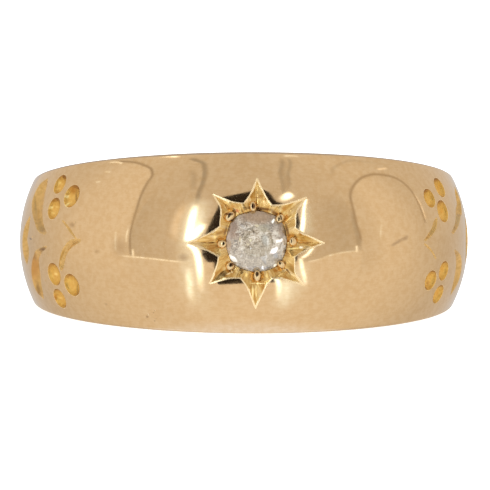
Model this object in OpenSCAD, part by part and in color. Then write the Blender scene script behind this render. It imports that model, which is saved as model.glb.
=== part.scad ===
// Gold band ring, star-set with one old-cut diamond, its shoulders carved.
// The ring lies on its lower side face, which is the plane Z = 0. The stone looks
// towards -Y and, because the sides taper, a little upwards. Lengths are millimetres.

/* [Band] */
// Diameter of the finger hole
bore_d = 17.5; // [17.1:0.1:17.8]
// Outer radius of the band, measured on the crown of its dome
band_r = 10.3; // [10.2:0.05:10.6]
// How far the outside is moved towards the stone, which thickens the front
front_shift = 0.7; // [0.5:0.05:0.8]
// Radius of the dome across the width of the band
dome_r = 6.4; // [6.2:0.1:8]
// Width of the band at its two sides, midway between front and back
band_w = 5.7; // [5.4:0.1:6]
// Slope of each side face, which makes the band wide in front and narrow behind
taper = 7.3; // [6.5:0.1:8]

/* [Stone] */
// Diameter of the stone at its girdle
stone_d = 2.68; // [2.5:0.02:2.76]
// Width of the table as a share of the stone
table_share = 0.52; // [0.48:0.01:0.58]
// Height of the crown above the girdle
crown_h = 0.4; // [0.3:0.02:0.44]
// Depth of the pavilion below the girdle
pavilion_h = 0.96; // [0.85:0.01:1.05]
// Thickness of the girdle
girdle_h = 0.05; // [0.03:0.01:0.08]
// Depth of the table below the crown of the band
table_sink = 0.06; // [0.02:0.01:0.12]
// Gap between the stone and its seat
stone_gap = 0.04; // [0.03:0.01:0.06]
// Diameter of the hole drilled through behind the stone
drill_d = 1.1; // [0.9:0.05:1.3]

/* [Star] */
// Number of rays, and of the grains that hold the stone
rays = 8; // [6:1:8]
// Distance from the stone's centre to the tip of each ray
star_r = 2.93; // [2.8:0.01:3.05]
// Distance from the stone's centre to the notch between two rays
notch_r = 1.83; // [1.75:0.01:1.9]
// Depth of each ray where its edges meet the next ray's
notch_depth = 0.36; // [0.3:0.01:0.42]
// Diameter of each grain
grain_d = 0.42; // [0.36:0.01:0.44]

/* [Shoulders] */
// Depth of the round pits
pit_depth = 0.28; // [0.15:0.01:0.35]
// Depth of the crescent cuts
crescent_depth = 0.3; // [0.2:0.01:0.36]
// Depth of the eye-shaped cut on each side
eye_depth = 0.27; // [0.15:0.01:0.32]
// Depth of the broad arm of each brace
brace_depth = 0.16; // [0.08:0.01:0.2]

/* [Hidden] */
$fn = 96;

GOLD = [0.86, 0.69, 0.44];
STONE = [0.84, 0.84, 0.83];

// Band: the dome's centre line, its top point, and room for cutters to run out
dome_ring = band_r - dome_r;
front_y = band_r + front_shift;
side_slope = tan(taper);
run_out = 4;

// Stone: its levels are measured down from the front of the band
stone_r = stone_d / 2;
table_r = stone_r * table_share;
culet_r = 0.1;
girdle_top = table_sink + crown_h;
girdle_low = girdle_top + girdle_h;
culet_level = girdle_low + pavilion_h;
star_facet_r = 0.5 * (table_r + stone_r);
lower_facet_r = 0.45 * stone_r;
step = 360 / 8;

// Star: each ray is a V-groove, given by its depth at a few distances
ray_step = 360 / rays;
notch_along = notch_r * cos(ray_step / 2);
notch_half = notch_r * sin(ray_step / 2);
wall_slope = notch_depth / notch_half;
cut_lift = 0.25;
tip_run = 0.35;
ray_mid = 0.5 * (notch_along + star_r);
ray_inner = 1.1;
inner_depth = 1.35 * notch_depth;
mid_depth = 0.44 * notch_depth;
// Columns: distance along the ray, depth of the groove under the band's surface
RAY_SECTIONS = [
    [ray_inner, inner_depth],
    [notch_along, notch_depth],
    [ray_mid, mid_depth],
    [star_r, 0],
    [star_r + tip_run, -mid_depth * tip_run / (star_r - ray_mid)]
];
grain_r = grain_d / 2;
grain_at = stone_r + 0.05 + grain_r;
grain_level = girdle_top - 0.08;

// Shoulders. Columns: angle from the stone, height over mid-width, radius of the rim
PITS_LEFT = [
    [61.9, 2.60, 0.42], [54.5, 2.07, 0.47], [61.3, 1.51, 0.45],
    [61.1, -1.46, 0.46], [54.1, -1.93, 0.48], [61.8, -2.56, 0.43]
];
PITS_RIGHT = [
    [61.7, 2.46, 0.44], [53.9, 1.98, 0.42], [59.4, 1.39, 0.45],
    [59.8, -1.31, 0.43], [53.8, -1.73, 0.43], [60.4, -2.37, 0.43]
];
// Crescents: the centre and radius of the bow, and where its deepest point lies
crescent_angle = 62.5;
crescent_height = 2.0;
crescent_bow = 1.65;
crescent_way = 30;
crescent_tube = 0.72;
crescent_span = 58;
// Eye on each side: where it lies, its length up the band and its breadth
eye_angle = 78;
eye_len = 2.2;
eye_w = 1.3;
// Braces. Columns: angle and height of the middle, length, breadth, depth, turn
BRACE_FINE = [52.8, 0.52, 1.7, 0.13, 0.07, 36];
BRACE_BROAD = [53.4, -0.52, 1.85, 0.42, brace_depth, -40];

// Depth of the band's surface below its front point, at x across and z up
function surface_sink(x, z) =
    band_r - sqrt(pow(dome_ring + sqrt(dome_r * dome_r - z * z), 2) - x * x);

// Radius of the round tool that cuts a groove so wide at so great a depth
function tool_r(width, depth) = (width * width / 4 + depth * depth) / (2 * depth);

// Moves the children to a point of the band's outside: X runs along the band,
// Y up its width and Z outwards
module on_band(angle, height) {
    translate([0, -front_shift, 0])
        rotate([0, 0, angle - 90])
            translate([dome_ring, 0, 0])
                rotate([0, -asin(height / dome_r), 0])
                    translate([dome_r, 0, 0])
                        rotate([90, 0, 90]) children();
}

// Moves the children to the stone: Z points out of the ring, zero at its front
module at_stone() {
    translate([0, -front_y, 0]) rotate([90, 0, 0]) children();
}

// Lays the ring on its lower side face, with the origin under the middle
module lay_down() {
    translate([0, front_shift * cos(taper), band_w / 2 * cos(taper)])
        rotate([-taper, 0, 0]) children();
}

// The domed outside, turned about its own axis
module domed_blank() {
    translate([0, -front_shift, 0])
        rotate_extrude()
            intersection() {
                translate([dome_ring, 0]) circle(dome_r);
                translate([0, -band_w]) square([band_r + 1, 2 * band_w]);
            }
}

// The space between the two side faces
module side_wedge() {
    reach = band_r + run_out;
    rotate([90, 0, 90])
        linear_extrude(2 * reach, center = true)
            polygon([
                [-reach, -band_w / 2 - side_slope * reach],
                [reach, -band_w / 2 + side_slope * reach],
                [reach, band_w / 2 - side_slope * reach],
                [-reach, band_w / 2 + side_slope * reach]
            ]);
}

// One ray of the star: a V-groove from the stone to its tip on the surface
module ray_cut(turn) {
    n = len(RAY_SECTIONS);
    points = [
        for (section = RAY_SECTIONS)
            let (
                along = section[0],
                depth = section[1],
                sink = surface_sink(along * cos(turn), along * sin(turn)),
                half = max(depth + cut_lift, 0.02) / wall_slope
            )
            each [
                [along, 0, -sink - depth],
                [along, half, -sink + cut_lift],
                [along, -half, -sink + cut_lift]
            ]
    ];
    walls = [
        for (i = [0 : n - 2], k = [0 : 2])
            let (a = 3 * i + k, b = 3 * i + (k + 1) % 3)
            each [[a, b + 3, b], [a, a + 3, b + 3]]
    ];
    ends = [[0, 1, 2], [3 * n - 3, 3 * n - 1, 3 * n - 2]];
    rotate([0, 0, turn]) polyhedron(points, concat(ends, walls));
}

// The seat under the stone, open to the front, and the hole drilled behind it
module seat_cut() {
    wide = stone_r + stone_gap;
    drill_r = drill_d / 2;
    slope = pavilion_h / (stone_r - culet_r);
    floor_level = girdle_low + stone_gap;
    throat = floor_level + (wide - drill_r) * slope;
    rotate_extrude()
        polygon([
            [0, 1], [wide, 1], [wide, -floor_level],
            [drill_r, -throat], [drill_r, -run_out], [0, -run_out]
        ]);
}

// A long groove cut with a round tool, pointed at both ends; X is its length
module flute(length, width, depth, across_r) {
    tube = tool_r(width, depth);
    wheel = 1 / (1 / tool_r(length, depth) - 1 / across_r);
    translate([0, 0, wheel - depth])
        rotate([90, 0, 0])
            rotate_extrude() translate([wheel - tube, 0]) circle(tube);
}

// A pit with a round floor
module pit_cut(rim_r) {
    ball = (rim_r * rim_r + pit_depth * pit_depth) / (2 * pit_depth);
    translate([0, 0, ball - pit_depth]) sphere(ball);
}

// A crescent: a leaning round tool that dips into the band on one side only
module crescent_cut() {
    fall = crescent_bow * crescent_bow / (2 * band_r);
    lean = asin(crescent_depth / (crescent_bow * (1 - cos(crescent_span))));
    lift = crescent_tube + crescent_bow * sin(lean) - crescent_depth - fall;
    translate([0, 0, lift])
        rotate([0, lean, 0])
            rotate_extrude() translate([crescent_bow, 0]) circle(crescent_tube);
}

// The cuts on the shoulder at +X; flip swaps the arms of the brace
module shoulder_cuts(pits, flip) {
    for (pit = pits) on_band(pit[0], pit[1]) pit_cut(pit[2]);
    for (up = [-1, 1])
        on_band(crescent_angle, up * crescent_height)
            rotate([0, 0, -up * crescent_way]) crescent_cut();
    on_band(eye_angle, 0) rotate([0, 0, 90]) flute(eye_len, eye_w, eye_depth, dome_r);
    for (arm = [BRACE_FINE, BRACE_BROAD])
        on_band(arm[0], flip * arm[1])
            rotate([0, 0, flip * arm[5]]) flute(arm[2], arm[3], arm[4], band_r);
}

module band() {
    color(GOLD) lay_down() {
        difference() {
            intersection() {
                domed_blank();
                side_wedge();
            }
            cylinder(h = 4 * band_w, d = bore_d, center = true);
            at_stone() {
                seat_cut();
                for (i = [0 : rays - 1]) ray_cut(i * ray_step);
            }
            shoulder_cuts(PITS_RIGHT, -1);
            mirror([1, 0, 0]) shoulder_cuts(PITS_LEFT, 1);
        }
        at_stone()
            for (i = [0 : rays - 1])
                rotate([0, 0, i * ray_step]) translate([grain_at, 0, -grain_level]) sphere(grain_r);
    }
}

// Height over the girdle of a crown facet's plane, at so great a distance
function crown_z(x) = crown_h * (stone_r - x) / (stone_r - table_r);

// Depth under the girdle of a pavilion facet's plane, at so great a distance
function pavilion_z(x) = pavilion_h * (stone_r - x) / (stone_r - culet_r * cos(step / 2));

// Eight points at one radius and level, or sixteen for the girdle
function ring(radius, level, count, first) =
    [for (i = [0 : count - 1]) let (a = first + i * 360 / count) [radius * cos(a), radius * sin(a), level]];

// Old-cut stone with table, star, kite and girdle facets, pavilion and culet
module diamond() {
    half = step / 2;
    points = concat(
        ring(table_r, -table_sink, 8, 0),
        ring(star_facet_r, crown_z(star_facet_r * cos(half)) - girdle_top, 8, half),
        ring(stone_r, -girdle_top, 16, 0),
        ring(stone_r, -girdle_low, 16, 0),
        ring(lower_facet_r, -girdle_low - pavilion_z(lower_facet_r * cos(half)), 8, half),
        ring(culet_r, -culet_level, 8, half)
    );
    table = 0;
    star = 8;
    upper = 16;
    lower = 32;
    deep = 48;
    culet = 56;
    faces = concat(
        [[for (i = [7 : -1 : 0]) table + i]],
        [[for (i = [0 : 7]) culet + i]],
        [for (i = [0 : 7]) let (n = (i + 1) % 8, g = 2 * i, p = (i + 7) % 8)
            each [
                [table + i, table + n, star + i],
                [table + i, star + i, upper + g, star + p],
                [star + i, upper + g + 1, upper + g],
                [star + i, upper + (g + 2) % 16, upper + g + 1],
                [upper + g, upper + g + 1, lower + g + 1, lower + g],
                [upper + g + 1, upper + (g + 2) % 16, lower + (g + 2) % 16, lower + g + 1],
                [deep + i, lower + g, lower + g + 1],
                [deep + i, lower + g + 1, lower + (g + 2) % 16],
                [lower + g, deep + i, culet + i, culet + p, deep + p]
            ]
        ]
    );
    color(STONE) lay_down() at_stone() polyhedron(points, faces);
}

band();
diamond();
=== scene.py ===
"""Looks of a gold band ring with one old-cut diamond in a star setting.

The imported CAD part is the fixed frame. Lengths here are millimetres in the ring's own frame, with
the finger hole along Z and the star towards -Y. Each finished mesh is laid on its side, turned to
metres and kept at the origin, where the CAD part lies.
"""

import logging
import math
from collections.abc import Callable, Iterator, Sequence
from contextlib import contextmanager
from dataclasses import dataclass
from enum import Enum
from typing import ClassVar

import bpy
from mathutils import Matrix, Quaternion, Vector


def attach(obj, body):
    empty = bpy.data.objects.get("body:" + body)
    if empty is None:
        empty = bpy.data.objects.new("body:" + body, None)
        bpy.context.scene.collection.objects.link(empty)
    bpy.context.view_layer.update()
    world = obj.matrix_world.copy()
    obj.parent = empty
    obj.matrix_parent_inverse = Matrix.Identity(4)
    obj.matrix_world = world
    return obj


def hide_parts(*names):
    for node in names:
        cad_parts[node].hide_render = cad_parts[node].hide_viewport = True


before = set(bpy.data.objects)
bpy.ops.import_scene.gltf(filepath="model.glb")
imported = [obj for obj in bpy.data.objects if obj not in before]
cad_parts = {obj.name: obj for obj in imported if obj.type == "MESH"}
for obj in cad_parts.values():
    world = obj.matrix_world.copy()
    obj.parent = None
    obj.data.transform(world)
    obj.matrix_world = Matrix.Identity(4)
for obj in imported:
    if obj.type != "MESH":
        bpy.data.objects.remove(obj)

Tree, Node, Socket = bpy.types.NodeTree, bpy.types.Node, bpy.types.NodeSocket
Piece, Material = bpy.types.Object, bpy.types.Material
Pair = tuple[float, float]
# A row of points, or a table of (place, value) rows.
Path = Sequence[Pair]
Colour = tuple[float, float, float, float]

LOG = logging.getLogger("ring")
MM = 0.001
# Points nearer than this are one.
WELD = 1e-5
# The star sits a touch above the band's middle line, as hand setting leaves it.
STAR_RAISED = 0.07


class MetalSlot(Enum):
    """Which of the band's material slots a face takes."""

    POLISHED = 0
    GRAVED = 1
    BURRED = 2
    WORN_EDGE_HIGHLIGHT = 3
    BEADED = 4
    SCOOPED = 5


class Join(Enum):
    """How a tool's solid meets the gold."""

    CUT_AWAY = "DIFFERENCE"
    SOLDER = "UNION"


def srgb(code: str) -> Colour:
    """Turns an sRGB hex colour into the linear one that a shader reads.

    Args:
        code: Six hex digits.

    Returns:
        Linear red, green, blue and an alpha of 1.
    """
    parts = [int(code[i : i + 2], 16) / 255 for i in (0, 2, 4)]
    linear = [c / 12.92 if c <= 0.04045 else ((c + 0.055) / 1.055) ** 2.4 for c in parts]
    return (linear[0], linear[1], linear[2], 1.0)


def fill(tree: Tree, node: Node, inputs: dict) -> None:
    """Links a node's inputs or sets their values.

    Args:
        tree: The node's tree.
        node: The node.
        inputs: A socket or a value for each input, by name with _ for a space, or by _ and number.
    """
    for name, value in inputs.items():
        socket = node.inputs[int(name[1:]) if name[1:].isdigit() else name.replace("_", " ")]
        if isinstance(value, Socket):
            tree.links.new(value, socket)
        else:
            socket.default_value = value


def add_node(tree: Tree, kind: str, settings: dict | None = None, **inputs) -> Node:
    """Adds a node.

    Args:
        tree: The tree that it goes into.
        kind: Its type.
        settings: Its properties.
        inputs: What fill takes.

    Returns:
        The new node.
    """
    node = tree.nodes.new(kind)
    for name, value in (settings or {}).items():
        setattr(node, name, value)
    fill(tree, node, inputs)
    return node


def hold(piece: Piece) -> Piece:
    """Selects one piece alone and makes it the active one."""
    bpy.ops.object.select_all(action="DESELECT")
    piece.select_set(True)
    bpy.context.view_layer.objects.active = piece
    return piece


@contextmanager
def on_the_bench(piece: Piece) -> Iterator[Piece]:
    """Opens a piece in edit mode with its whole mesh selected, and closes it again."""
    hold(piece)
    bpy.ops.object.mode_set(mode="EDIT")
    bpy.ops.mesh.select_all(action="SELECT")
    yield piece
    bpy.ops.object.mode_set(mode="OBJECT")


def primitive(add: Callable, name: str, **settings) -> Piece:
    """Adds a primitive mesh with nothing else selected.

    Args:
        add: The operator that adds it.
        name: The piece's name.
        settings: What the operator takes.

    Returns:
        The piece.
    """
    bpy.ops.object.select_all(action="DESELECT")
    add(**settings)
    piece = bpy.context.object
    piece.name = piece.data.name = name
    return piece


def form(piece: Piece, move: Callable[[Vector], Vector]) -> Piece:
    """Moves every vertex of a piece to where a rule puts it.

    Args:
        piece: A mesh object.
        move: Takes a vertex's place and gives its new one.

    Returns:
        The same piece.
    """
    for vertex in piece.data.vertices:
        vertex.co = move(vertex.co.copy())
    piece.data.update()
    return piece


def sheet(name: str, across: int, along: int, place: Callable[[int, int], Vector]) -> Piece:
    """Lays a grid primitive on a surface.

    Args:
        name: The piece's name.
        across: Cells in the first direction.
        along: Cells in the second direction.
        place: Takes the numbers of a point's row and column, and gives its place.

    Returns:
        The sheet.
    """
    grid = primitive(bpy.ops.mesh.primitive_grid_add, name, x_subdivisions=across,
                     y_subdivisions=along, size=2)
    return form(grid, lambda p: place(round((p.x + 1) / 2 * across),
                                      round((p.y + 1) / 2 * along)))


def close_to_block(piece: Piece, outwards: Vector, weld: bool = False) -> Piece:
    """Draws a sheet out to a closed block that cuts.

    Args:
        piece: The sheet, which is the block's floor.
        outwards: The way and length that it is drawn out.
        weld: Whether the sheet's seam and middle are merged first.

    Returns:
        The block.
    """
    with on_the_bench(piece):
        if weld:
            bpy.ops.mesh.remove_doubles(threshold=WELD)
        bpy.ops.mesh.extrude_region_move(TRANSFORM_OT_translate={"value": outwards})
        bpy.ops.mesh.select_all(action="SELECT")
        bpy.ops.mesh.normals_make_consistent(inside=False)
    return piece


def work(piece: Piece, tool: Piece, how: Join) -> None:
    """Cuts a piece with a tool, or solders the tool's solid on, and puts the tool away.

    Args:
        piece: The gold.
        tool: A closed mesh.
        how: Cut away or solder.
    """
    hold(piece)
    step = piece.modifiers.new(how.name.lower(), "BOOLEAN")
    step.operation, step.solver, step.object = how.value, "MANIFOLD", tool
    bpy.ops.object.modifier_apply(modifier=step.name)
    bpy.data.objects.remove(tool)


def joined(pieces: Sequence[Piece], name: str) -> Piece:
    """Makes one object of several that don't touch.

    Args:
        pieces: The objects, of which the first one stays.
        name: The name of the whole.

    Returns:
        The one object.
    """
    whole = hold(pieces[0])
    for piece in pieces:
        piece.select_set(True)
    bpy.ops.object.join()
    whole.name = whole.data.name = name
    return whole


def held(value: float, least: float = 0.0, most: float = 1.0) -> float:
    """Keeps a value between a least and a most one."""
    return min(max(value, least), most)


def blend_down(value: float, limit: float, soft: float) -> float:
    """Takes the smaller of two depths, and rounds the corner where they meet.

    Args:
        value: One depth.
        limit: The other depth.
        soft: How near each other they have to be for the corner to be rounded.

    Returns:
        The depth.
    """
    gap = max(soft - abs(value - limit), 0.0) / soft
    return min(value, limit) - gap * gap * soft / 4


def along_table(table: Path, at: float) -> float:
    """Reads a table with straight lines between its rows.

    Args:
        table: Rows of a place and its value, with the places rising.
        at: The place to read.

    Returns:
        The value there, and beyond the table the nearest row's.
    """
    if at <= table[0][0]:
        return table[0][1]
    for (a, va), (b, vb) in zip(table, table[1:]):
        if at <= b:
            return va + (vb - va) * (at - a) / (b - a)
    return table[-1][1]


def smooth_path(path: Path, t: float) -> Vector:
    """Follows a smooth curve through a row of points.

    Args:
        path: The points.
        t: The share of the way, from 0 to 1.

    Returns:
        The point there.
    """
    at = held(t) * (len(path) - 1)
    k = min(int(at), len(path) - 2)
    f = at - k
    a, b = Vector(path[k]), Vector(path[k + 1])
    before, after = Vector(path[max(k - 1, 0)]), Vector(path[min(k + 2, len(path) - 1)])
    ta, tb = (b - before) / 2, (after - a) / 2
    return (a * (2 * f**3 - 3 * f**2 + 1) + ta * (f**3 - 2 * f**2 + f)
            + b * (3 * f**2 - 2 * f**3) + tb * (f**3 - f**2))


@dataclass
class Steps:
    """The steps that materials are put together from, on one node tree."""

    tree: Tree

    def noise(self, place: Socket, size_mm: float, detail: float, roughness: float = 0.5) -> Node:
        """Adds noise whose main swells are a size in mm."""
        return add_node(self.tree, "ShaderNodeTexNoise", None, Vector=place,
                        Scale=1 / (size_mm * MM), Detail=detail, Roughness=roughness)

    def span(self, value: Socket, start: float, end: float, first: float = 0.0, last: float = 1.0,
             kind: str = "LINEAR") -> Socket:
        """Maps the values from start to end on those from first to last, and holds them there."""
        return add_node(self.tree, "ShaderNodeMapRange", {"interpolation_type": kind}, Value=value,
                        From_Min=start, From_Max=end, To_Min=first, To_Max=last).outputs[0]

    def number(self, operation: str, first: Socket, **others: Socket | float) -> Socket:
        """Works out a number."""
        return add_node(self.tree, "ShaderNodeMath", {"operation": operation}, _0=first,
                        **others).outputs[0]

    def folded(self, operation: str, values: Sequence[Socket]) -> Socket:
        """Works one number out of several, two at a time."""
        result, *others = values
        for other in others:
            result = self.number(operation, result, _1=other)
        return result

    def vector(self, operation: str, first: Socket, **others: Socket | Sequence[float]) -> Node:
        """Adds a step of vector arithmetic."""
        return add_node(self.tree, "ShaderNodeVectorMath", {"operation": operation}, _0=first,
                        **others)

    def between(self, share: float, first: Socket, second: Socket) -> Socket:
        """Mixes two numbers."""
        return add_node(self.tree, "ShaderNodeMix", {"data_type": "FLOAT"}, _0=share, _2=first,
                        _3=second).outputs[0]

    def mix(self, share: Socket, first: Socket | Colour, second: Socket | Colour) -> Socket:
        """Mixes two colours."""
        return add_node(self.tree, "ShaderNodeMix", {"data_type": "RGBA"}, _0=share, _6=first,
                        _7=second).outputs[2]

    def ramp(self, value: Socket, stops: Sequence[tuple[float, Colour]]) -> Socket:
        """Turns a value to a colour, by stops of a place and a linear colour."""
        node = add_node(self.tree, "ShaderNodeValToRGB", None, Fac=value)
        laid = node.color_ramp.elements
        while len(laid) < len(stops):
            laid.new(0.5)
        for stop, (at, colour) in zip(laid, stops):
            stop.position, stop.color = at, colour
        return node.outputs["Color"]

    def bump(self, height: Socket, depth_mm: float, strength: float = 1.0,
             **over: Socket) -> Socket:
        """Raises a height from 0 to 1 by a depth in mm, over another Normal if one is given."""
        return add_node(self.tree, "ShaderNodeBump", None, Strength=strength,
                        Distance=depth_mm * MM, Height=height, **over).outputs[0]


@dataclass
class Shading(Steps):
    """A material in the making, with its shader and the piece's Object coordinates."""

    material: Material
    shader: Node
    place: Socket

    @classmethod
    def start(cls, name: str, colour: str, metallic: float) -> "Shading":
        """Starts a material with its plain colour.

        Args:
            name: The material's name.
            colour: sRGB hex of the bare finish.
            metallic: 1 for metal and 0 for the stone.

        Returns:
            The material in the making.
        """
        material = bpy.data.materials.new(name)
        material.use_nodes = True
        tree = material.node_tree
        place = add_node(tree, "ShaderNodeTexCoord").outputs["Object"]
        dress = cls(tree, material, tree.nodes["Principled BSDF"], place)
        dress.give(Base_Color=srgb(colour), Metallic=metallic)
        return dress

    def give(self, **inputs: Socket | Colour | float) -> None:
        """Links or sets the shader's inputs, by name with _ for a space."""
        fill(self.tree, self.shader, inputs)

    def ragged(self, noise: Node, reach_mm: float, back: float = 0.0) -> Socket:
        """Pushes the coordinates about, so that a mark that is measured in them has ragged edges.

        Args:
            noise: The noise that pushes.
            reach_mm: How far it pushes.
            back: Share of the reach that is taken off again. Half of it keeps a mark in place.

        Returns:
            The pushed coordinates.
        """
        push = self.vector("MULTIPLY_ADD", noise.outputs["Color"], _1=[reach_mm * MM] * 3,
                           _2=[-back * reach_mm * MM] * 3)
        return self.vector("ADD", self.place, _1=push.outputs[0]).outputs[0]

    def marked(self, colour: Socket, marks: Sequence["Spot"],
               place: Socket | None = None) -> Socket:
        """Lays marks over a colour.

        Args:
            colour: The bare colour.
            marks: The marks, of which the last one lies on top.
            place: Coordinates to measure them in, where they aren't the piece's own.

        Returns:
            The colour with its marks.
        """
        for mark in marks:
            mask = mark.mask(self, self.place if place is None else place)
            colour = self.mix(mask, colour, srgb(mark.colour))
        return colour


# Middle of the star in the row frame: across and up, in mm.
STAR_MIDDLE = (0.0, 4.285)


@dataclass(frozen=True)
class Spot:
    """A small mark of its own colour on a finish: a soft ellipse, in mm, as seen from the front.

    Its place is measured across and up from the middle of the star.
    """

    x: float
    y: float
    half_width: float
    half_height: float
    turn_deg: float
    colour: str
    strength: float = 0.8
    soft: float = 0.5

    # How far a mark reaches to the front and the back: here right through the piece.
    DEPTH_MM: ClassVar[float] = 1000.0
    # How far its soft edge reaches outwards, over how far it reaches inwards.
    OUTWARDS: ClassVar[float] = 0.4

    def middle_mm(self) -> Vector:
        """The mark's middle in the row frame."""
        return Vector((self.x + STAR_MIDDLE[0], 0.0, self.y + STAR_MIDDLE[1]))

    def mask(self, dress: Shading, place: Socket) -> Socket:
        """Makes the mark's share at each point.

        Args:
            dress: The material.
            place: The coordinates to measure in.

        Returns:
            A value that falls from the mark's strength to 0 across its soft edge.
        """
        half = Vector((self.half_width, self.DEPTH_MM, self.half_height))
        turn = (0.0, -math.radians(self.turn_deg), 0.0)
        laid = add_node(dress.tree, "ShaderNodeMapping", {"vector_type": "TEXTURE"}, Vector=place,
                        Location=self.middle_mm() * MM, Rotation=turn, Scale=half * MM)
        away = dress.vector("LENGTH", laid.outputs[0]).outputs["Value"]
        inner, outer = 1.0 - self.soft, 1.0 + self.soft * self.OUTWARDS
        return dress.span(away, inner, outer, self.strength, 0.0, "SMOOTHSTEP")


@dataclass(frozen=True)
class BandMark(Spot):
    """A mark placed by its angle round the ring and its height, just under the band's outside."""

    DEPTH_MM: ClassVar[float] = 0.6

    def middle_mm(self) -> Vector:
        """The mark's middle in the row frame."""
        shank = Shank()
        return shank.to_row @ shank.outside(self.x, self.y) / MM


# Darker brown marks at the small knocks and along the scratch; the widest, at -35.6 degrees,
# is painted darker reflection between two gleams.
POLISHED_MARKS = (
    BandMark(-51.4, 0.84, 0.12, 0.13, 0, "B08658", 0.6, 0.9),
    BandMark(-42.5, -0.33, 0.15, 0.12, 0, "B48A5C", 0.4, 0.9),
    BandMark(-30.0, -3.25, 0.08, 0.07, 0, "9A6E44", 0.65, 0.9),
    BandMark(-27.7, -3.06, 0.04, 0.05, 0, "9A6E44", 0.45, 0.9),
    BandMark(-28.2, -3.44, 0.05, 0.05, 0, "9A6E44", 0.55, 0.9),
    BandMark(-72.1, 0.17, 0.05, 0.06, 0, "6E5240", 0.85, 0.8),
    BandMark(-42.1, -2.70, 0.08, 0.07, 0, "B0865A", 0.4, 0.9),
    BandMark(-35.6, -0.12, 0.45, 0.5, 0, "B08A60", 0.4, 0.9),
    BandMark(-17.9, -0.56, 0.26, 0.2, 0, "A8805A", 0.5, 0.9),
    BandMark(38.4, 0.05, 0.24, 0.1, 20, "B08A64", 0.55, 0.9),
    BandMark(40.0, 0.16, 0.22, 0.09, 20, "B4906A", 0.5, 0.9),
    BandMark(42.0, 0.27, 0.18, 0.11, 20, "B08A64", 0.55, 0.9),
)
# Painted highlights in the pits, and darker, orange-brown patches of painted shade.
PIT_LIGHT_AND_SHADE = (
    BandMark(-56.4, 2.03, 0.12, 0.08, 0, "FFE49C", 1.0, 0.7),
    BandMark(-55.4, 1.67, 0.2, 0.05, 30, "FFE290", 1.0, 0.7),
    BandMark(-54.6, 2.28, 0.19, 0.2, 0, "B4701E", 0.8, 0.8),
    BandMark(-52.3, 2.03, 0.06, 0.34, 0, "74461A", 0.8, 0.8),
    BandMark(-62.0, 2.62, 0.11, 0.08, 0, "FFDA82", 0.9, 0.8),
    BandMark(-61.6, 2.35, 0.15, 0.045, 15, "F8D480", 0.8, 0.8),
    BandMark(-60.9, 2.89, 0.08, 0.12, 0, "84561F", 0.7, 0.8),
    BandMark(-62.6, 1.53, 0.12, 0.08, 0, "FFDE8C", 0.9, 0.8),
    BandMark(-59.9, 1.53, 0.11, 0.07, 0, "FFD880", 0.9, 0.8),
    BandMark(-61.1, 1.26, 0.11, 0.05, 0, "FFDE88", 0.9, 0.8),
    BandMark(-62.5, 1.85, 0.15, 0.07, 0, "A0681A", 0.7, 0.8),
    BandMark(-60.3, -1.50, 0.12, 0.09, 0, "FFDF8E", 1.0, 0.6),
    BandMark(-62.9, -1.18, 0.09, 0.28, 0, "B8823A", 0.6, 0.8),
    BandMark(-54.6, -1.77, 0.12, 0.1, 0, "ECC668", 0.6, 0.8),
    BandMark(-52.2, -2.17, 0.05, 0.3, 0, "84602A", 0.6, 0.8),
    BandMark(-63.9, -2.54, 0.11, 0.22, 0, "C27C2A", 0.7, 0.8),
    BandMark(-61.3, -2.58, 0.1, 0.08, 0, "FAD480", 0.9, 0.7),
    BandMark(61.8, 2.48, 0.1, 0.22, 0, "D2901C", 0.6, 0.8),
    BandMark(58.9, 1.35, 0.14, 0.16, 0, "DC9C2E", 0.6, 0.8),
    BandMark(59.2, -1.27, 0.1, 0.18, 0, "DA9A32", 0.6, 0.8),
    BandMark(53.2, -1.90, 0.11, 0.16, 0, "B07030", 0.6, 0.8),
    BandMark(60.0, -2.36, 0.09, 0.16, 0, "D29434", 0.5, 0.8),
)
# Painted shade along the crescents' edges and in the left brace's hook, a painted highlight on the
# right brace, and paler and warmer tints over the end cuts and crescents.
SCOOP_LIGHT_AND_SHADE = (
    BandMark(-71.0, 1.71, 0.07, 0.8, 0, "CC9640", 0.75, 0.8),
    BandMark(-74.7, 1.89, 0.05, 0.8, 4, "A08252", 0.6, 0.8),
    BandMark(-70.5, 2.35, 0.04, 0.42, -8, "8E6C3A", 0.6, 0.8),
    BandMark(-66.6, 0.62, 0.24, 0.2, 0, "A08452", 0.7, 0.9),
    BandMark(-65.8, -0.36, 0.34, 0.1, 30, "7C5836", 0.85, 0.8),
    BandMark(-73.4, -1.3, 0.34, 1.1, 0, "B67E3A", 0.75, 0.6),
    BandMark(-70.8, -1.63, 0.05, 0.11, 0, "705234", 0.8, 0.8),
    BandMark(-74.0, -2.2, 0.12, 0.4, 8, "845C34", 0.75, 0.8),
    BandMark(-76.9, 0.31, 0.07, 0.5, 0, "B0904A", 0.6, 0.8),
    BandMark(70.2, 1.22, 0.34, 0.9, 0, "C4A674", 0.7, 0.8),
    BandMark(71.0, -1.60, 0.28, 0.66, 0, "BE9A62", 0.6, 0.8),
    BandMark(80.6, 0.05, 0.3, 1.4, 0, "BCA684", 0.85, 0.7),
    BandMark(53.2, 0.54, 0.2, 0.32, -35, "B08E50", 0.5, 0.8),
    BandMark(54.8, 0.49, 0.03, 0.22, -35, "FFE6AE", 0.9, 0.8),
    BandMark(-56.2, -0.62, 0.06, 0.5, -22, "A8792E", 0.75, 0.8),
    BandMark(-58.2, -1.0, 0.12, 0.16, 0, "A87626", 0.7, 0.8),
    BandMark(-71.2, -0.64, 0.12, 0.3, 0, "946A38", 0.6, 0.8),
)
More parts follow.
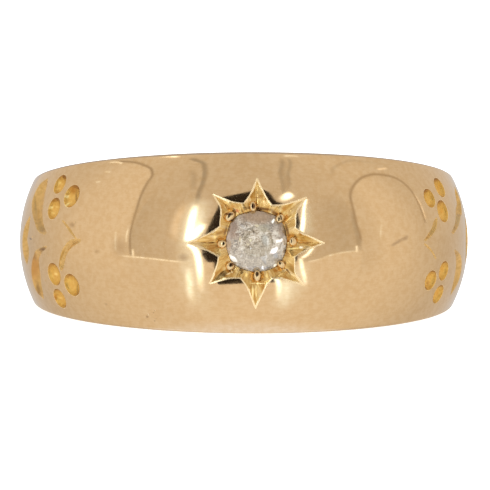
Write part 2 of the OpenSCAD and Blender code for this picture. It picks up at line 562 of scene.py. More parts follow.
# Painted shade on the star: orange and brown patches on the rays' walls, and painted shadow round
# the stone's seat.
STAR_SHADE = (
    Spot(-1.57, 1.50, 0.16, 0.12, 20, "D08A34", 0.7, 0.8),
    Spot(-1.05, 1.50, 0.14, 0.08, -30, "D89038", 0.7, 0.8),
    Spot(-0.86, 1.30, 0.12, 0.09, -30, "C06838", 0.85, 0.7),
    Spot(-0.24, 1.93, 0.12, 0.07, 0, "BE7C2C", 0.7, 0.8),
    Spot(0.18, 1.95, 0.10, 0.07, 0, "C88634", 0.7, 0.8),
    Spot(0.00, 1.88, 0.26, 0.03, 0, "B47428", 0.7, 0.8),
    Spot(1.22, 1.42, 0.13, 0.13, 0, "BC7228", 0.75, 0.9),
    Spot(1.95, 0.28, 0.10, 0.09, 0, "B87018", 0.8, 0.8),
    Spot(2.05, 0.00, 0.24, 0.05, 0, "C8862E", 0.7, 0.8),
    Spot(0.86, -1.33, 0.13, 0.08, -20, "B87018", 0.8, 0.8),
    Spot(1.31, -1.42, 0.15, 0.10, 20, "CC8C34", 0.7, 0.8),
    Spot(-1.35, -1.55, 0.12, 0.08, 40, "C8842C", 0.7, 0.8),
    Spot(-1.58, -1.35, 0.10, 0.14, 0, "CE8E38", 0.6, 0.8),
    Spot(-1.60, -1.60, 0.46, 0.15, 38, "6E5028", 0.9, 0.7),
    Spot(1.64, -1.32, 0.42, 0.11, -43, "A87C3A", 0.75, 0.7),
    Spot(2.10, 0.14, 0.60, 0.14, -8, "C08A34", 0.6, 0.7),
    Spot(1.46, 1.58, 0.44, 0.11, 44, "C48E3A", 0.6, 0.7),
    Spot(-0.14, 2.14, 0.13, 0.50, 6, "BC8430", 0.6, 0.7),
    Spot(-1.62, 1.40, 0.13, 0.40, 38, "BE8A3C", 0.6, 0.7),
    Spot(-1.60, 0.36, 0.34, 0.10, 20, "A8702C", 0.7, 0.8),
    Spot(-1.45, 0.40, 0.10, 0.20, 0, "B47A36", 0.6, 0.8),
    Spot(-2.10, -0.10, 0.55, 0.03, 2, "B8803C", 0.6, 0.8),
    Spot(0.10, 1.40, 0.75, 0.08, -4, "6E4420", 0.85, 0.7),
    Spot(0.80, 1.20, 0.22, 0.10, -38, "7A4C24", 0.8, 0.7),
    Spot(1.36, 0.45, 0.08, 0.36, 14, "7E5028", 0.85, 0.7),
    Spot(1.36, -0.20, 0.06, 0.40, -6, "A06C38", 0.6, 0.7),
    Spot(-1.38, 0.42, 0.07, 0.26, -14, "7E5028", 0.75, 0.7),
    Spot(-0.72, -1.30, 0.22, 0.07, 0, "94602C", 0.6, 0.8),
    Spot(1.12, -0.92, 0.12, 0.12, 30, "94602C", 0.6, 0.8),
)
# Painted highlights along the rays' edges and creases.
STAR_HIGHLIGHTS = (
    Spot(-0.02, 2.42, 0.035, 0.34, 0, "F4C878", 0.55, 0.6),
    Spot(-0.16, -2.30, 0.035, 0.34, 0, "FFE9A4", 0.9, 0.6),
    Spot(-0.01, -2.28, 0.03, 0.36, 0, "FFE6A0", 0.9, 0.6),
    Spot(0.04, -1.90, 0.36, 0.03, 0, "FFE8A4", 0.8, 0.6),
    Spot(-0.46, -1.52, 0.07, 0.12, 0, "FFDC84", 0.7, 0.7),
    Spot(0.46, -1.56, 0.07, 0.12, 0, "FFE28E", 0.7, 0.7),
    Spot(1.42, 0.92, 0.30, 0.035, 47, "FFE090", 0.8, 0.6),
    Spot(1.10, 0.98, 0.14, 0.03, 60, "F8D890", 0.6, 0.6),
    Spot(1.66, -0.35, 0.38, 0.03, 5, "FFE594", 0.9, 0.6),
    Spot(1.98, -0.30, 0.10, 0.05, 0, "FFF6D8", 0.9, 0.6),
    Spot(-2.40, 0.02, 0.50, 0.025, 2, "F6D490", 0.6, 0.6),
    Spot(-1.85, 0.17, 0.08, 0.06, 0, "F8D078", 0.7, 0.7),
    Spot(-1.25, 1.27, 0.20, 0.03, 20, "F4D48C", 0.7, 0.6),
    Spot(-1.24, -1.46, 0.14, 0.03, 25, "FFE9B4", 0.7, 0.6),
    Spot(-1.10, -1.38, 0.04, 0.08, 30, "FFE9B4", 0.7, 0.6),
    Spot(1.60, -1.52, 0.14, 0.03, -22, "F8DC9C", 0.7, 0.6),
    Spot(1.02, -1.52, 0.16, 0.03, 30, "F6D084", 0.7, 0.6),
    Spot(-0.42, 1.76, 0.05, 0.14, -10, "F4D49C", 0.6, 0.7),
    Spot(0.34, 1.66, 0.08, 0.14, 10, "F6D494", 0.6, 0.7),
)
# Painted shade: a dark patch on one side of each grain.
GRAIN_SHADE = (
    Spot(-0.15, 1.53, 0.10, 0.14, 8, "6A3A1C", 0.9, 0.4),
    Spot(-1.20, 1.17, 0.19, 0.07, 5, "6C4020", 0.85, 0.4),
    Spot(-1.47, -0.10, 0.05, 0.09, 0, "6A4424", 0.85, 0.5),
    Spot(-1.13, -1.05, 0.14, 0.10, 20, "603618", 0.9, 0.4),
    Spot(0.02, -1.46, 0.09, 0.12, 0, "643A1A", 0.9, 0.4),
    Spot(1.03, -0.96, 0.07, 0.10, 0, "7A5228", 0.8, 0.5),
    Spot(1.08, 1.02, 0.05, 0.14, 15, "5A3A1C", 0.85, 0.5),
)
# Clouds, specks and feathers of this stone. The brown patches over the top and sides of the crown
# are painted reflection of the gold round it and painted shadow of the seat.
FLAWS_AND_REFLECTIONS = (
    Spot(0.10, -0.75, 1.20, 0.80, 0, "C6BAA4", 0.55, 0.6),
    Spot(0.05, 1.22, 1.05, 0.52, 0, "A57F50", 0.9, 0.45),
    Spot(-1.12, 0.55, 0.34, 0.58, 10, "A27E5E", 0.8, 0.5),
    Spot(-1.27, -0.10, 0.14, 0.55, 0, "E4C8AE", 0.8, 0.6),
    Spot(1.20, 0.50, 0.28, 0.45, 0, "9A7850", 0.8, 0.5),
    Spot(0.33, 0.60, 0.32, 0.18, 0, "ADA48A", 0.7, 0.5),
    Spot(0.36, 0.08, 0.20, 0.34, 15, "CCCCC2", 0.7, 0.7),
    Spot(-0.46, 0.24, 0.10, 0.24, -35, "8E8268", 0.65, 0.7),
    Spot(-0.30, 0.57, 0.28, 0.06, 20, "877C6A", 0.7, 0.5),
    Spot(-0.60, 0.62, 0.20, 0.05, -30, "D8D0C4", 0.7, 0.5),
    Spot(0.69, 0.01, 0.07, 0.12, 0, "968A6A", 0.7, 0.5),
    Spot(-0.94, -0.02, 0.08, 0.05, 10, "807668", 0.8, 0.5),
    Spot(-0.92, -0.17, 0.07, 0.03, 0, "827A6E", 0.8, 0.5),
    Spot(-0.07, -0.10, 0.08, 0.07, 0, "9A907E", 0.7, 0.5),
    Spot(0.56, -1.17, 0.14, 0.06, 5, "66625A", 0.8, 0.5),
    Spot(0.82, -0.62, 0.12, 0.22, 20, "C4C4C6", 0.6, 0.6),
    Spot(-0.76, 0.11, 0.06, 0.13, 10, "F0DEB0", 0.9, 0.5),
    Spot(-0.30, 0.05, 0.05, 0.07, 0, "FFF6D0", 1.0, 0.5),
    Spot(-0.43, -0.13, 0.08, 0.05, 0, "FAEAC8", 0.9, 0.5),
    Spot(0.00, 0.70, 0.10, 0.06, 0, "F0E2BA", 0.8, 0.5),
    Spot(0.49, -0.02, 0.04, 0.13, 0, "FFFAEE", 0.9, 0.5),
    Spot(-0.30, -0.32, 0.05, 0.04, 0, "FFFFFF", 0.9, 0.5),
    Spot(-0.18, 0.42, 0.05, 0.20, 40, "7E7260", 0.7, 0.6),
    Spot(-0.62, 0.30, 0.04, 0.16, -25, "7C705E", 0.7, 0.6),
    Spot(-0.80, 0.42, 0.16, 0.04, 25, "E6DCC8", 0.8, 0.6),
    Spot(-0.36, 0.78, 0.22, 0.03, -15, "DED2C0", 0.7, 0.6),
    Spot(0.12, 0.30, 0.03, 0.22, 10, "EEE6D4", 0.7, 0.6),
    Spot(0.56, 0.34, 0.10, 0.05, 30, "857962", 0.7, 0.6),
    Spot(0.20, -0.24, 0.10, 0.05, -20, "8A8070", 0.6, 0.6),
    Spot(-0.58, -0.42, 0.14, 0.04, 15, "8C8272", 0.6, 0.6),
    Spot(-0.16, -0.62, 0.18, 0.04, -10, "E6E0D2", 0.7, 0.6),
    Spot(0.42, -0.58, 0.04, 0.16, 20, "F2ECE0", 0.7, 0.6),
    Spot(-0.70, -0.66, 0.05, 0.10, -20, "F4ECDC", 0.7, 0.6),
    Spot(0.92, 0.30, 0.04, 0.14, -30, "E8DEC8", 0.7, 0.6),
)
# Facets that send a lamp's light straight back.
FLASHES = (
    Spot(-1.05, -0.81, 0.25, 0.12, -35, "FFFAF0", 1.0, 0.3),
    Spot(0.77, -0.43, 0.23, 0.11, 42, "FFF4F0", 1.0, 0.3),
    Spot(1.02, 0.00, 0.17, 0.09, 10, "FFF4E6", 1.0, 0.3),
    Spot(0.74, 0.87, 0.07, 0.12, -20, "FFFFF4", 1.0, 0.4),
    Spot(0.82, -1.10, 0.13, 0.06, 40, "FFF6DC", 0.9, 0.4),
    Spot(0.28, -1.20, 0.05, 0.09, 0, "FFFFFF", 0.9, 0.5),
)


@dataclass(frozen=True)
class PolishedGold:
    """18 ct yellow gold, turned and buffed on a mop: a warm mirror with hairline wear."""

    name: str = "buffed_yellow_gold"
    colour: str = "F9D19D"
    worn_colour: str = "F1C68F"
    roughness: float = 0.06
    # Real hairlines are about 0.01 mm wide and are drawn coarser, so that they survive at this
    # size. They run round the band, so the noise is drawn out along X and Y.
    hairline_mm: float = 0.05
    hairline_squeeze: float = 0.14
    hairline_depth_mm: float = 0.001
    wear_mm: float = 0.26
    wear_share: float = 0.74
    wave_mm: float = 2.6
    wave_depth_mm: float = 0.012
    mark_reach_mm: float = 0.16

    def build(self) -> Material:
        """Makes the material of the band's outside, sides and bore."""
        dress = Shading.start(self.name, self.colour, 1.0)
        drawn = add_node(dress.tree, "ShaderNodeMapping", None, Vector=dress.place,
                         Scale=(self.hairline_squeeze, self.hairline_squeeze, 1.0))
        hair = dress.noise(drawn.outputs[0], self.hairline_mm, 3.0)
        wear = dress.noise(dress.place, self.wear_mm, 4.0, 0.65)
        both = dress.between(self.wear_share, hair.outputs["Fac"], wear.outputs["Fac"])
        smooth, rough = self.roughness * 0.7, self.roughness * 1.6
        dress.give(Roughness=dress.span(both, 0.35, 0.7, smooth, rough))
        # Skin and air leave the gold a little browner in patches, most where it is worn.
        tone = dress.mix(dress.span(both, 0.41, 0.59), srgb(self.colour), srgb(self.worn_colour))
        # The marks darken the knocks and the scratch, and paint a darker reflection in one wide
        # patch.
        dress.give(Base_Color=dress.marked(tone, POLISHED_MARKS, dress.ragged(wear, self.mark_reach_mm)))
        # Hand polishing leaves long, shallow waves that make straight reflections wander.
        wave = dress.noise(dress.place, self.wave_mm, 1.0)
        swell = dress.bump(wave.outputs["Fac"], self.wave_depth_mm)
        dress.give(Normal=dress.bump(both, self.hairline_depth_mm, 0.2, Normal=swell))
        return dress.material


@dataclass(frozen=True)
class CutGold:
    """The same gold where a tool has cut it, a deeper yellow, with the tool's fine marks."""

    name: str
    colour: str
    # Tool marks too fine to draw throw light about; the shader's matte share stands for them.
    metallic: float
    roughness: float
    mark_mm: float
    mark_depth_mm: float
    # The colour in the marks' hollows, where it isn't the same.
    hollow: str = ""
    marks: tuple[Spot, ...] = ()

    def build(self) -> Material:
        """Makes the material of one kind of cut."""
        dress = Shading.start(self.name, self.colour, self.metallic)
        ripples = dress.noise(dress.place, self.mark_mm, 3.0, 0.6).outputs["Fac"]
        smooth, rough = self.roughness * 0.7, self.roughness * 1.35
        dress.give(Roughness=dress.span(ripples, 0.3, 0.7, smooth, rough),
                   Normal=dress.bump(ripples, self.mark_depth_mm))
        dress.give(Base_Color=dress.marked(self.tone(dress, ripples), self.marks))
        return dress.material

    def tone(self, dress: Shading, ripples: Socket) -> Socket:
        """The colour under the marks: darker in the ripples' hollows."""
        low = dress.span(ripples, 0.36, 0.6, 1.0, 0.0)
        return dress.mix(low, srgb(self.colour), srgb(self.hollow or self.colour))


@dataclass(frozen=True)
class GravedGold(CutGold):
    """The star's walls: bright streaks run out from the stone, where the graver was pushed."""

    furrow: str = "C68C44"
    crest: str = "F6D194"
    # Real strokes are about 0.03 mm wide and are drawn coarser, so that they survive at this size.
    stroke_mm: float = 0.2
    stroke_long_mm: float = 0.8
    stroke_depth_mm: float = 0.012
    # Where the rays are, a stroke is as wide as it should be.
    rays_from_middle_mm: float = 2.0
    highlight_metallic: float = 0.45

    def tone(self, dress: Shading, ripples: Socket) -> Socket:
        """Lays the strokes, with their bump over the ripples', and the star's painted shade and
        highlights.
        """
        strokes = self.strokes(dress)
        under = dress.shader.inputs["Normal"].links[0].from_socket
        dress.give(Normal=dress.bump(strokes, self.stroke_depth_mm, Normal=under))
        colour = dress.ramp(strokes, ((0.34, srgb(self.furrow)), (0.5, srgb(self.colour)),
                                      (0.66, srgb(self.crest))))
        colour = dress.marked(dress.marked(colour, STAR_SHADE), STAR_HIGHLIGHTS)
        # Under the painted highlights the gold is less metallic, so that its matte share keeps them
        # bright.
        highlighted = dress.folded("MAXIMUM", [burr.mask(dress, dress.place) for burr in STAR_HIGHLIGHTS])
        dress.give(Metallic=dress.span(highlighted, 0.0, 1.0, self.metallic, self.highlight_metallic))
        return colour

    def strokes(self, dress: Shading) -> Socket:
        """The height of the graver's strokes: noise drawn out away from the star's middle."""
        middle = Vector((STAR_MIDDLE[0], 0.0, STAR_MIDDLE[1])) * MM
        from_middle = dress.vector("SUBTRACT", dress.place, _1=middle)
        flat = dress.vector("MULTIPLY", from_middle.outputs[0], _1=(1.0, 0.0, 1.0)).outputs[0]
        way = dress.vector("NORMALIZE", flat)
        strokes_round = self.rays_from_middle_mm / self.stroke_mm
        turned = dress.vector("SCALE", way.outputs[0], Scale=strokes_round)
        length = dress.vector("LENGTH", flat).outputs["Value"]
        out = dress.number("DIVIDE", length, _1=self.stroke_long_mm * MM)
        lifted = add_node(dress.tree, "ShaderNodeCombineXYZ", None, Y=out)
        both = dress.vector("ADD", turned.outputs[0], _1=lifted.outputs[0])
        return dress.noise(both.outputs[0], 1 / MM, 3.0, 0.6).outputs["Fac"]


@dataclass(frozen=True)
class BurredGold(CutGold):
    """The pits' satin floors: bright in the middle, with painted shade towards the rim."""

    bright: str = "ECBD66"
    rim_shade: str = "A27034"

    def tone(self, dress: Shading, ripples: Socket) -> Socket:
        """Paints shade on the floor towards the rim, with an edge that the ripples break up."""
        rim = add_node(dress.tree, "ShaderNodeAttribute", {"attribute_name": "pit_shade"})
        broken = dress.number("MULTIPLY_ADD", ripples, _1=0.5, _2=rim.outputs["Fac"])
        return dress.ramp(broken, ((0.1, srgb(self.bright)), (0.42, srgb(self.colour)),
                                   (0.85, srgb(self.rim_shade))))


GRAVED = GravedGold("graver_cut_yellow_gold", "E8BA6D", 0.88, 0.22, 0.3, 0.016)
BURRED = BurredGold("burr_cut_yellow_gold", "DAA950", 0.72, 0.5, 0.13, 0.012, marks=PIT_LIGHT_AND_SHADE)
# Wear rolls the cuts' edges; their paler, less metallic finish is a painted highlight along each
# edge.
WORN_EDGE_HIGHLIGHT = CutGold("worn_edge_highlight_gold", "FFDFAA", 0.74, 0.3, 0.2, 0.004)
# The beading tool is cupped: it leaves each grain round and bright.
# Each grain gets a dark patch of painted shade on one side.
BEADED = CutGold("beaded_yellow_gold", "FAD8A2", 0.95, 0.14, 0.15, 0.004, "F0C88C", GRAIN_SHADE)
SCOOPED = CutGold("scoop_cut_yellow_gold", "D2A866", 0.6, 0.42, 0.2, 0.008, "BE9654", SCOOP_LIGHT_AND_SHADE)


@dataclass(frozen=True)
class CloudyDiamond:
    """An included old-cut diamond: glassy facets over a milky body with clouds and specks."""

    name: str = "included_diamond"
    shadow: str = "8A7760"
    body: str = "CBB9A0"
    light: str = "F8EEDC"
    cloud_mm: float = 0.24
    speck_mm: float = 0.06
    speck_share: float = 0.45
    ragged_reach_mm: float = 0.22
    roughness: float = 0.03
    refraction: float = 2.42
    clear: float = 0.12
    # Share of the room's light that the milky body gives back, against a white card.
    gives_back: float = 0.62

    def build(self) -> Material:
        """Makes the stone's material: clouds from noise, with this stone's flaws, painted
        reflection and shadow over them.
        """
        dress = Shading.start(self.name, self.body, 0.0)
        dress.give(Roughness=self.roughness, IOR=self.refraction, Transmission_Weight=self.clear)
        cloud = dress.noise(dress.place, self.cloud_mm, 3.0, 0.6)
        speck = dress.noise(dress.place, self.speck_mm, 2.0, 0.6)
        glint = add_node(dress.tree, "ShaderNodeAttribute", {"attribute_name": "facet_glint"})
        mottle = dress.between(self.speck_share, cloud.outputs["Fac"], speck.outputs["Fac"])
        level = dress.number("ADD", mottle, _1=glint.outputs["Fac"])
        colour = dress.ramp(level, ((0.36, srgb(self.shadow)), (0.5, srgb(self.body)),
                                    (0.66, srgb(self.light))))
        ragged = dress.ragged(cloud, self.ragged_reach_mm, 0.5)
        colour = dress.marked(colour, FLAWS_AND_REFLECTIONS, ragged)
        # The body keeps a part of the light, and more of it in the clouds.
        given = dress.span(level, 0.3, 0.7, self.gives_back * 0.8, self.gives_back * 1.2)
        colour = dress.vector("SCALE", colour, Scale=given).outputs[0]
        dress.give(Base_Color=dress.marked(colour, FLASHES, ragged))
        return dress.material


@dataclass(frozen=True)
class Shank:
    """The band's body: a domed outside, flat tapering sides and a round bore off its centre."""

    bore_radius: float = 8.75
    crest_radius: float = 10.2955
    front_shift: float = 0.7
    dome_radius: float = 6.4
    half_width: float = 2.85
    taper_deg: float = 7.3
    # How far the rounded edges reach: on the dome and the side, and on the side and the bore.
    outer_edge: Pair = (0.1275, 0.17)
    inner_edge: Pair = (0.168, 0.24)
    turns: int = 384
    dome_cells: int = 27
    edge_cells: int = 5
    side_cells: int = 3
    bore_cells: int = 8
    # Radius of the blank that the section is laid on.
    blank_radius: float = 9.5
    # A point this near to the outside or the bore lies on it.
    near: float = 0.002
    # Rounds in which the rim's height and its radius settle, as each hangs on the other.
    rim_rounds: int = 12

    @property
    def half_cells(self) -> int:
        """Cells of the section from the crest of the dome to the middle of the bore."""
        return self.dome_cells + 2 * self.edge_cells + self.side_cells + self.bore_cells

    @property
    def front_y(self) -> float:
        """Where the crest is at the star, along Y."""
        return -self.crest_radius - self.front_shift

    @property
    def to_row(self) -> Matrix:
        """Turns the ring's own millimetres into the row frame's metres, lying on its side."""
        taper = math.radians(self.taper_deg)
        lift = Vector((0, self.front_shift * math.cos(taper), self.half_width * math.cos(taper)))
        return Matrix.Scale(MM, 4) @ Matrix.Translation(lift) @ Matrix.Rotation(-taper, 4, "X")

    def reach(self, height: float) -> float:
        """Radius of the outside at a height above the ring's middle plane."""
        return self.crest_radius - self.dome_radius + math.sqrt(self.dome_radius**2 - height**2)

    def facing(self, angle: float, height: float) -> Vector:
        """The outside's normal."""
        a, b = math.radians(angle), math.asin(height / self.dome_radius)
        return Vector((math.sin(a) * math.cos(b), -math.cos(a) * math.cos(b), math.sin(b)))

    def outside(self, angle: float, height: float, depth: float = 0.0) -> Vector:
        """Finds a point under the outside.

        Args:
            angle: Degrees from the stone towards +X.
            height: Height above the middle plane.
            depth: How far below the surface the point lies.

        Returns:
            The point in the ring's frame.
        """
        radius, a = self.reach(height), math.radians(angle)
        foot = Vector((radius * math.sin(a), -radius * math.cos(a) - self.front_shift, height))
        return foot - self.facing(angle, height) * depth

    def stand(self, angle: float, height: float) -> tuple[Vector, Vector, Vector, Vector]:
        """A point of the outside, and the ways east, north and out from it."""
        out = self.facing(angle, height)
        east = Vector((0, 0, 1)).cross(out).normalized()
        return self.outside(angle, height), east, out.cross(east), out

    def front(self, x: float, z: float, depth: float = 0.0) -> Vector:
        """A point under the front of the outside, straight below (x, z) as seen from the front."""
        return Vector((x, -math.sqrt(self.reach(z) ** 2 - x * x) - self.front_shift + depth, z))

    def place_of(self, point: Vector) -> Pair:
        """Angle and height of a point near the outside."""
        return math.degrees(math.atan2(point.x, -(point.y + self.front_shift))), point.z

    def sunk(self, point: Vector) -> float:
        """How far a point lies below the outside."""
        return self.reach(point.z) - math.hypot(point.x, point.y + self.front_shift)

    def true_normal(self, point: Vector) -> Vector | None:
        """The normal of the polished surface that a point lies on, or None near an edge."""
        if abs(self.sunk(point)) < self.near:
            return self.facing(*self.place_of(point))
        if abs(math.hypot(point.x, point.y) - self.bore_radius) < self.near:
            return Vector((-point.x, -point.y, 0)).normalized()
        return None

    def half_section(self, angle: float) -> list[Vector]:
        """Draws the upper half of the section.

        Args:
            angle: Radians from the stone.

        Returns:
            (radius from the outside's axis, height) from the crest to the middle of the bore.
        """
        slope, turn = math.tan(math.radians(self.taper_deg)), math.cos(angle)

        def side(radius: float) -> float:
            return self.half_width + slope * (self.front_shift + radius * turn)

        def rounded(start: Vector, corner: Vector, end: Vector) -> list[Vector]:
            ways = [k / self.edge_cells for k in range(self.edge_cells)]
            return [start * (1 - t) ** 2 + corner * 2 * t * (1 - t) + end * t * t for t in ways]

        top = side(self.crest_radius)
        for _ in range(self.rim_rounds):
            top = side(self.reach(top))
        shift = self.front_shift * turn
        bore = -shift + math.sqrt(shift**2 - self.front_shift**2 + self.bore_radius**2)
        rim, lip = Vector((self.reach(top), top)), Vector((bore, side(bore)))
        inward = (lip - rim).normalized()
        dome_end = top - self.outer_edge[0]
        a, b = Vector((self.reach(dome_end), dome_end)), rim + inward * self.outer_edge[1]
        c, d = lip - inward * self.inner_edge[0], Vector((bore, lip.y - self.inner_edge[1]))
        middle = Vector((bore, 0))
        dome = [dome_end * k / self.dome_cells for k in range(self.dome_cells)]
        return [*(Vector((self.reach(height), height)) for height in dome),
                *rounded(a, rim, b),
                *(b.lerp(c, k / self.side_cells) for k in range(self.side_cells)),
                *rounded(c, lip, d),
                *(d.lerp(middle, k / self.bore_cells) for k in range(self.bore_cells + 1))]

    def build(self) -> Piece:
        """Draws a torus onto the band's section all round.

        Returns:
            The uncut band in the ring's frame.
        """
        cells = 2 * self.half_cells
        step_round = 2 * math.pi / self.turns
        sections = [self.half_section(step_round * turn) for turn in range(self.turns)]
        band = primitive(bpy.ops.mesh.primitive_torus_add, "band_gold", major_segments=self.turns,
                         minor_segments=cells, major_radius=self.blank_radius, minor_radius=1.0)

        def onto_section(p: Vector) -> Vector:
            turn = round(math.atan2(p.x, -p.y) / step_round) % self.turns
            round_blank = math.atan2(p.z, math.hypot(p.x, p.y) - self.blank_radius)
            step = round(round_blank / (2 * math.pi) * cells)
            radius, height = sections[turn][abs(step)]
            a = step_round * turn
            return Vector((radius * math.sin(a), -radius * math.cos(a) - self.front_shift,
                           math.copysign(height, step)))

        with on_the_bench(form(band, onto_section)):
            bpy.ops.mesh.normals_make_consistent(inside=False)
        return band


@dataclass(frozen=True)
class Edge:
    """The worn lip of a cut: a steep wall that rolls over into the polished surface."""

    wall: float = 1.3
    roll: float = 0.04
    clear: float = 0.009
    # How far the corner between wall and floor is rounded, and the least floor that has one.
    corner: float = 0.06
    least_floor: float = 0.03

    def depth(self, beyond: float, floor: float) -> float:
        """Works out the cut's depth at a distance outside its outline.

        Args:
            beyond: Distance outside the outline, less than 0 inside it.
            floor: Depth of the cut's floor there.

        Returns:
            Depth below the surface, less than 0 above it.
        """
        fall = self.wall * (math.sqrt(beyond**2 + self.roll**2) - beyond) / 2 - self.clear
        if floor > self.least_floor:
            return blend_down(fall, floor, self.corner)
        return min(fall, floor)


# Rows of a cut's mesh, from beyond its lip inwards and from its crease outwards.
LIP_STEPS = (0.11, 0.07, 0.045, 0.025, 0.008, -0.01, -0.03, -0.055, -0.09, -0.14)
CREASE_STEPS = (0.0, 0.022, 0.045, 0.075, 0.12)
# Where half of a cut's width is less than this, its crease is drawn in.
NARROW_CUT = 0.3


def across_cut(half: float, spacing: float) -> list[float]:
    """Lays out the rows of a cut's mesh from its crease to beyond its lip.

    Args:
        half: Half of the cut's width there.
        spacing: Least distance between two rows.

    Returns:
        Distances from the crease, rising.
    """
    rows = [step * min(1.0, half / NARROW_CUT) for step in CREASE_STEPS]
    last, lip = rows[-1], half + LIP_STEPS[-1]
    rows += [last + (lip - last) / 3, last + (lip - last) * 2 / 3]
    rows += [half + step for step in reversed(LIP_STEPS)]
    for k in range(1, len(rows)):
        rows[k] = max(rows[k], rows[k - 1] + spacing)
    return rows


@dataclass
class Star:
    """The setting: eight tapering rays, the stone's seat and eight grains over its edge."""

    shank: Shank
    raised: float = STAR_RAISED
    seat_radius: float = 1.352
    seat_squareness: float = 0.05
    seat_depth: float = 0.53
    seat_turns: int = 64
    drill_radius: float = 0.55
    drill_from: float = 1.2
    drill_to: float = 3.2
    # How far the tools stand out of the gold.
    seat_above: float = 1.0
    ray_above: float = 1.2
    ray_depth: float = 0.42
    ray_from: float = 1.0
    ray_rows: int = 22
    # Rows of the ray's mesh about its tip.
    tip_rows: tuple[float, ...] = (-0.03, 0.0, 0.03, 0.07, 0.12)
    row_gap: float = 0.006
    notch_at: float = 1.70
    notch_half: float = 0.68
    edge: Edge = Edge(wall=0.57, roll=0.05, clear=0.009)
    crease: float = 0.012
    # The rays' edges run askew, so a way across is longer than the one square to the edge.
    askew: float = 0.87
    # Angle round the star, distance of the tip from the stone's middle, share of the usual width,
    # and the side that the graver hollowed more: 1 anticlockwise, -1 clockwise, 0 neither.
    rays: tuple[tuple[float, float, float, int], ...] = (
        (358.6, 3.06, 1.0, 0), (41.0, 3.00, 1.0, -1), (88.9, 2.83, 0.9, 0), (132.9, 2.87, 1.0, 1),
        (181.3, 3.14, 1.0, 0), (222.0, 2.85, 1.0, 0), (269.6, 3.01, 1.0, 0), (317.0, 2.90, 1.0, 1),
    )
    # Share of the notch's half width at a share of the way from the tip to the notch.
    outline: Path = ((0.0, 0.0), (0.25, 0.2), (0.5, 0.41), (0.65, 0.54), (0.8, 0.70), (0.92, 0.87),
                     (1.0, 1.0), (1.5, 1.75))
    hollowed: Path = ((0.0, 0.0), (0.3, 0.12), (0.5, 0.19), (0.62, 0.30), (0.8, 0.60), (0.92, 0.85),
                      (1.0, 1.0), (1.5, 1.75))
    # The graver was pushed in steps, and leaned more on one side: share of the depth, and how the
    # steps turn, in radians, from mm to mm, from ray to ray and from side to side.
    unevenness: float = 0.17
    steps: tuple[float, float, float] = (7.5, 2.3, 1.9)
    # Angle, distance, size and length over width of each grain, and how far its top leans, in mm.
    grains: tuple[tuple[float, float, float, float, Pair], ...] = (
        (0.0, 1.63, 1.15, 0.75, (-0.10, 0.0)), (44.6, 1.47, 1.05, 1.05, (-0.07, -0.07)),
        (95.7, 1.55, 0.92, 1.5, (-0.03, 0.03)), (136.9, 1.62, 1.5, 0.68, (-0.05, 0.03)),
        (184.4, 1.56, 1.05, 1.05, (0.09, 0.02)), (223.0, 1.61, 1.08, 1.05, (0.02, 0.06)),
        (271.2, 1.54, 0.97, 1.35, (-0.02, 0.11)), (317.1, 1.52, 0.9, 1.1, (-0.09, 0.07)),
    )
    grain_radius: float = 0.17
    grain_depth: float = 0.19
    grain_rise: float = 0.13
    grain_root: float = 0.35
    # How fast a grain widens below its waist, and the least share of its round that it keeps.
    grain_flare: float = 0.5
    grain_least: float = 0.25

    def ray(self, number: int) -> Piece:
        """Makes the graver's cut of one ray.

        Args:
            number: Which ray, anticlockwise from the right.

        Returns:
            A closed block whose floor is the ray.
        """
        angle, tip, width, hollow_side = self.rays[number]
        a = math.radians(angle)
        way, cross = Vector((math.cos(a), math.sin(a))), Vector((-math.sin(a), math.cos(a)))
        length = tip - self.ray_from
        stations = [self.ray_from + length * (k / self.ray_rows) for k in range(self.ray_rows)]
        stations += [tip + past for past in self.tip_rows]
        rows = len(across_cut(1.0, self.row_gap)) - 1
        by_mm, by_ray, by_side = self.steps

        def side_at(s: float, side: int) -> float:
            table = self.hollowed if side == hollow_side else self.outline
            return self.notch_half * width * along_table(table, (tip - s) / (tip - self.notch_at))

        def place(row: int, column: int) -> Vector:
            s = stations[row]
            one, other = (side_at(s, 1), side_at(s, -1)) if s < tip else (0.0, 0.0)
            half, off = (one + other) / 2, (one - other) / 2
            k = column - rows
            lateral = across_cut(half, self.row_gap)[abs(k)]
            if half > 0.0:
                crease = self.crease * min(1.0, half / NARROW_CUT)
                beyond = (math.hypot(lateral, crease) - half) * self.askew
                lean = math.sin(by_mm * s + by_ray * number + (by_side if k > 0 else 0.0))
                depth = self.edge.depth(beyond, self.ray_depth)
                depth += max(depth, 0.0) * self.unevenness * lean
            else:
                depth = self.edge.depth(math.hypot(lateral, s - tip), 0.0)
            at = way * s + cross * (off + math.copysign(lateral, k))
            return self.shank.front(at.x, at.y + self.raised, depth)

        block = sheet(f"ray_{number}", len(stations) - 1, 2 * rows, place)
        return close_to_block(block, Vector((0, -self.ray_above, 0)))

    def seat(self) -> Piece:
        """Makes the drill and the bearing burr for the stone's seat.

        Returns:
            One closed, turned tool, with the seat's soft corners.
        """
        profile = ((0.0, -self.seat_above), (self.seat_radius, -self.seat_above),
                   (self.seat_radius, self.seat_depth), (self.drill_radius, self.drill_from),
                   (self.drill_radius, self.drill_to), (0.0, self.drill_to))

        def place(row: int, column: int) -> Vector:
            radius, depth = profile[row]
            a = 2 * math.pi * column / self.seat_turns
            if radius == self.seat_radius:
                radius *= 1 + self.seat_squareness * (1 - math.cos(4 * a)) / 2
            return Vector((radius * math.cos(a), self.shank.front_y + depth,
                           radius * math.sin(a) + self.raised))

        tool = sheet("seat_tool", len(profile) - 1, self.seat_turns, place)
        with on_the_bench(tool):
            bpy.ops.mesh.remove_doubles(threshold=WELD)
            bpy.ops.mesh.normals_make_consistent(inside=False)
        return tool

    def cutter(self) -> Piece:
        """Joins the eight rays and the seat to one tool."""
        tool, *others = [self.ray(number) for number in range(len(self.rays))] + [self.seat()]
        for other in others:
            work(tool, other, Join.SOLDER)
        return tool

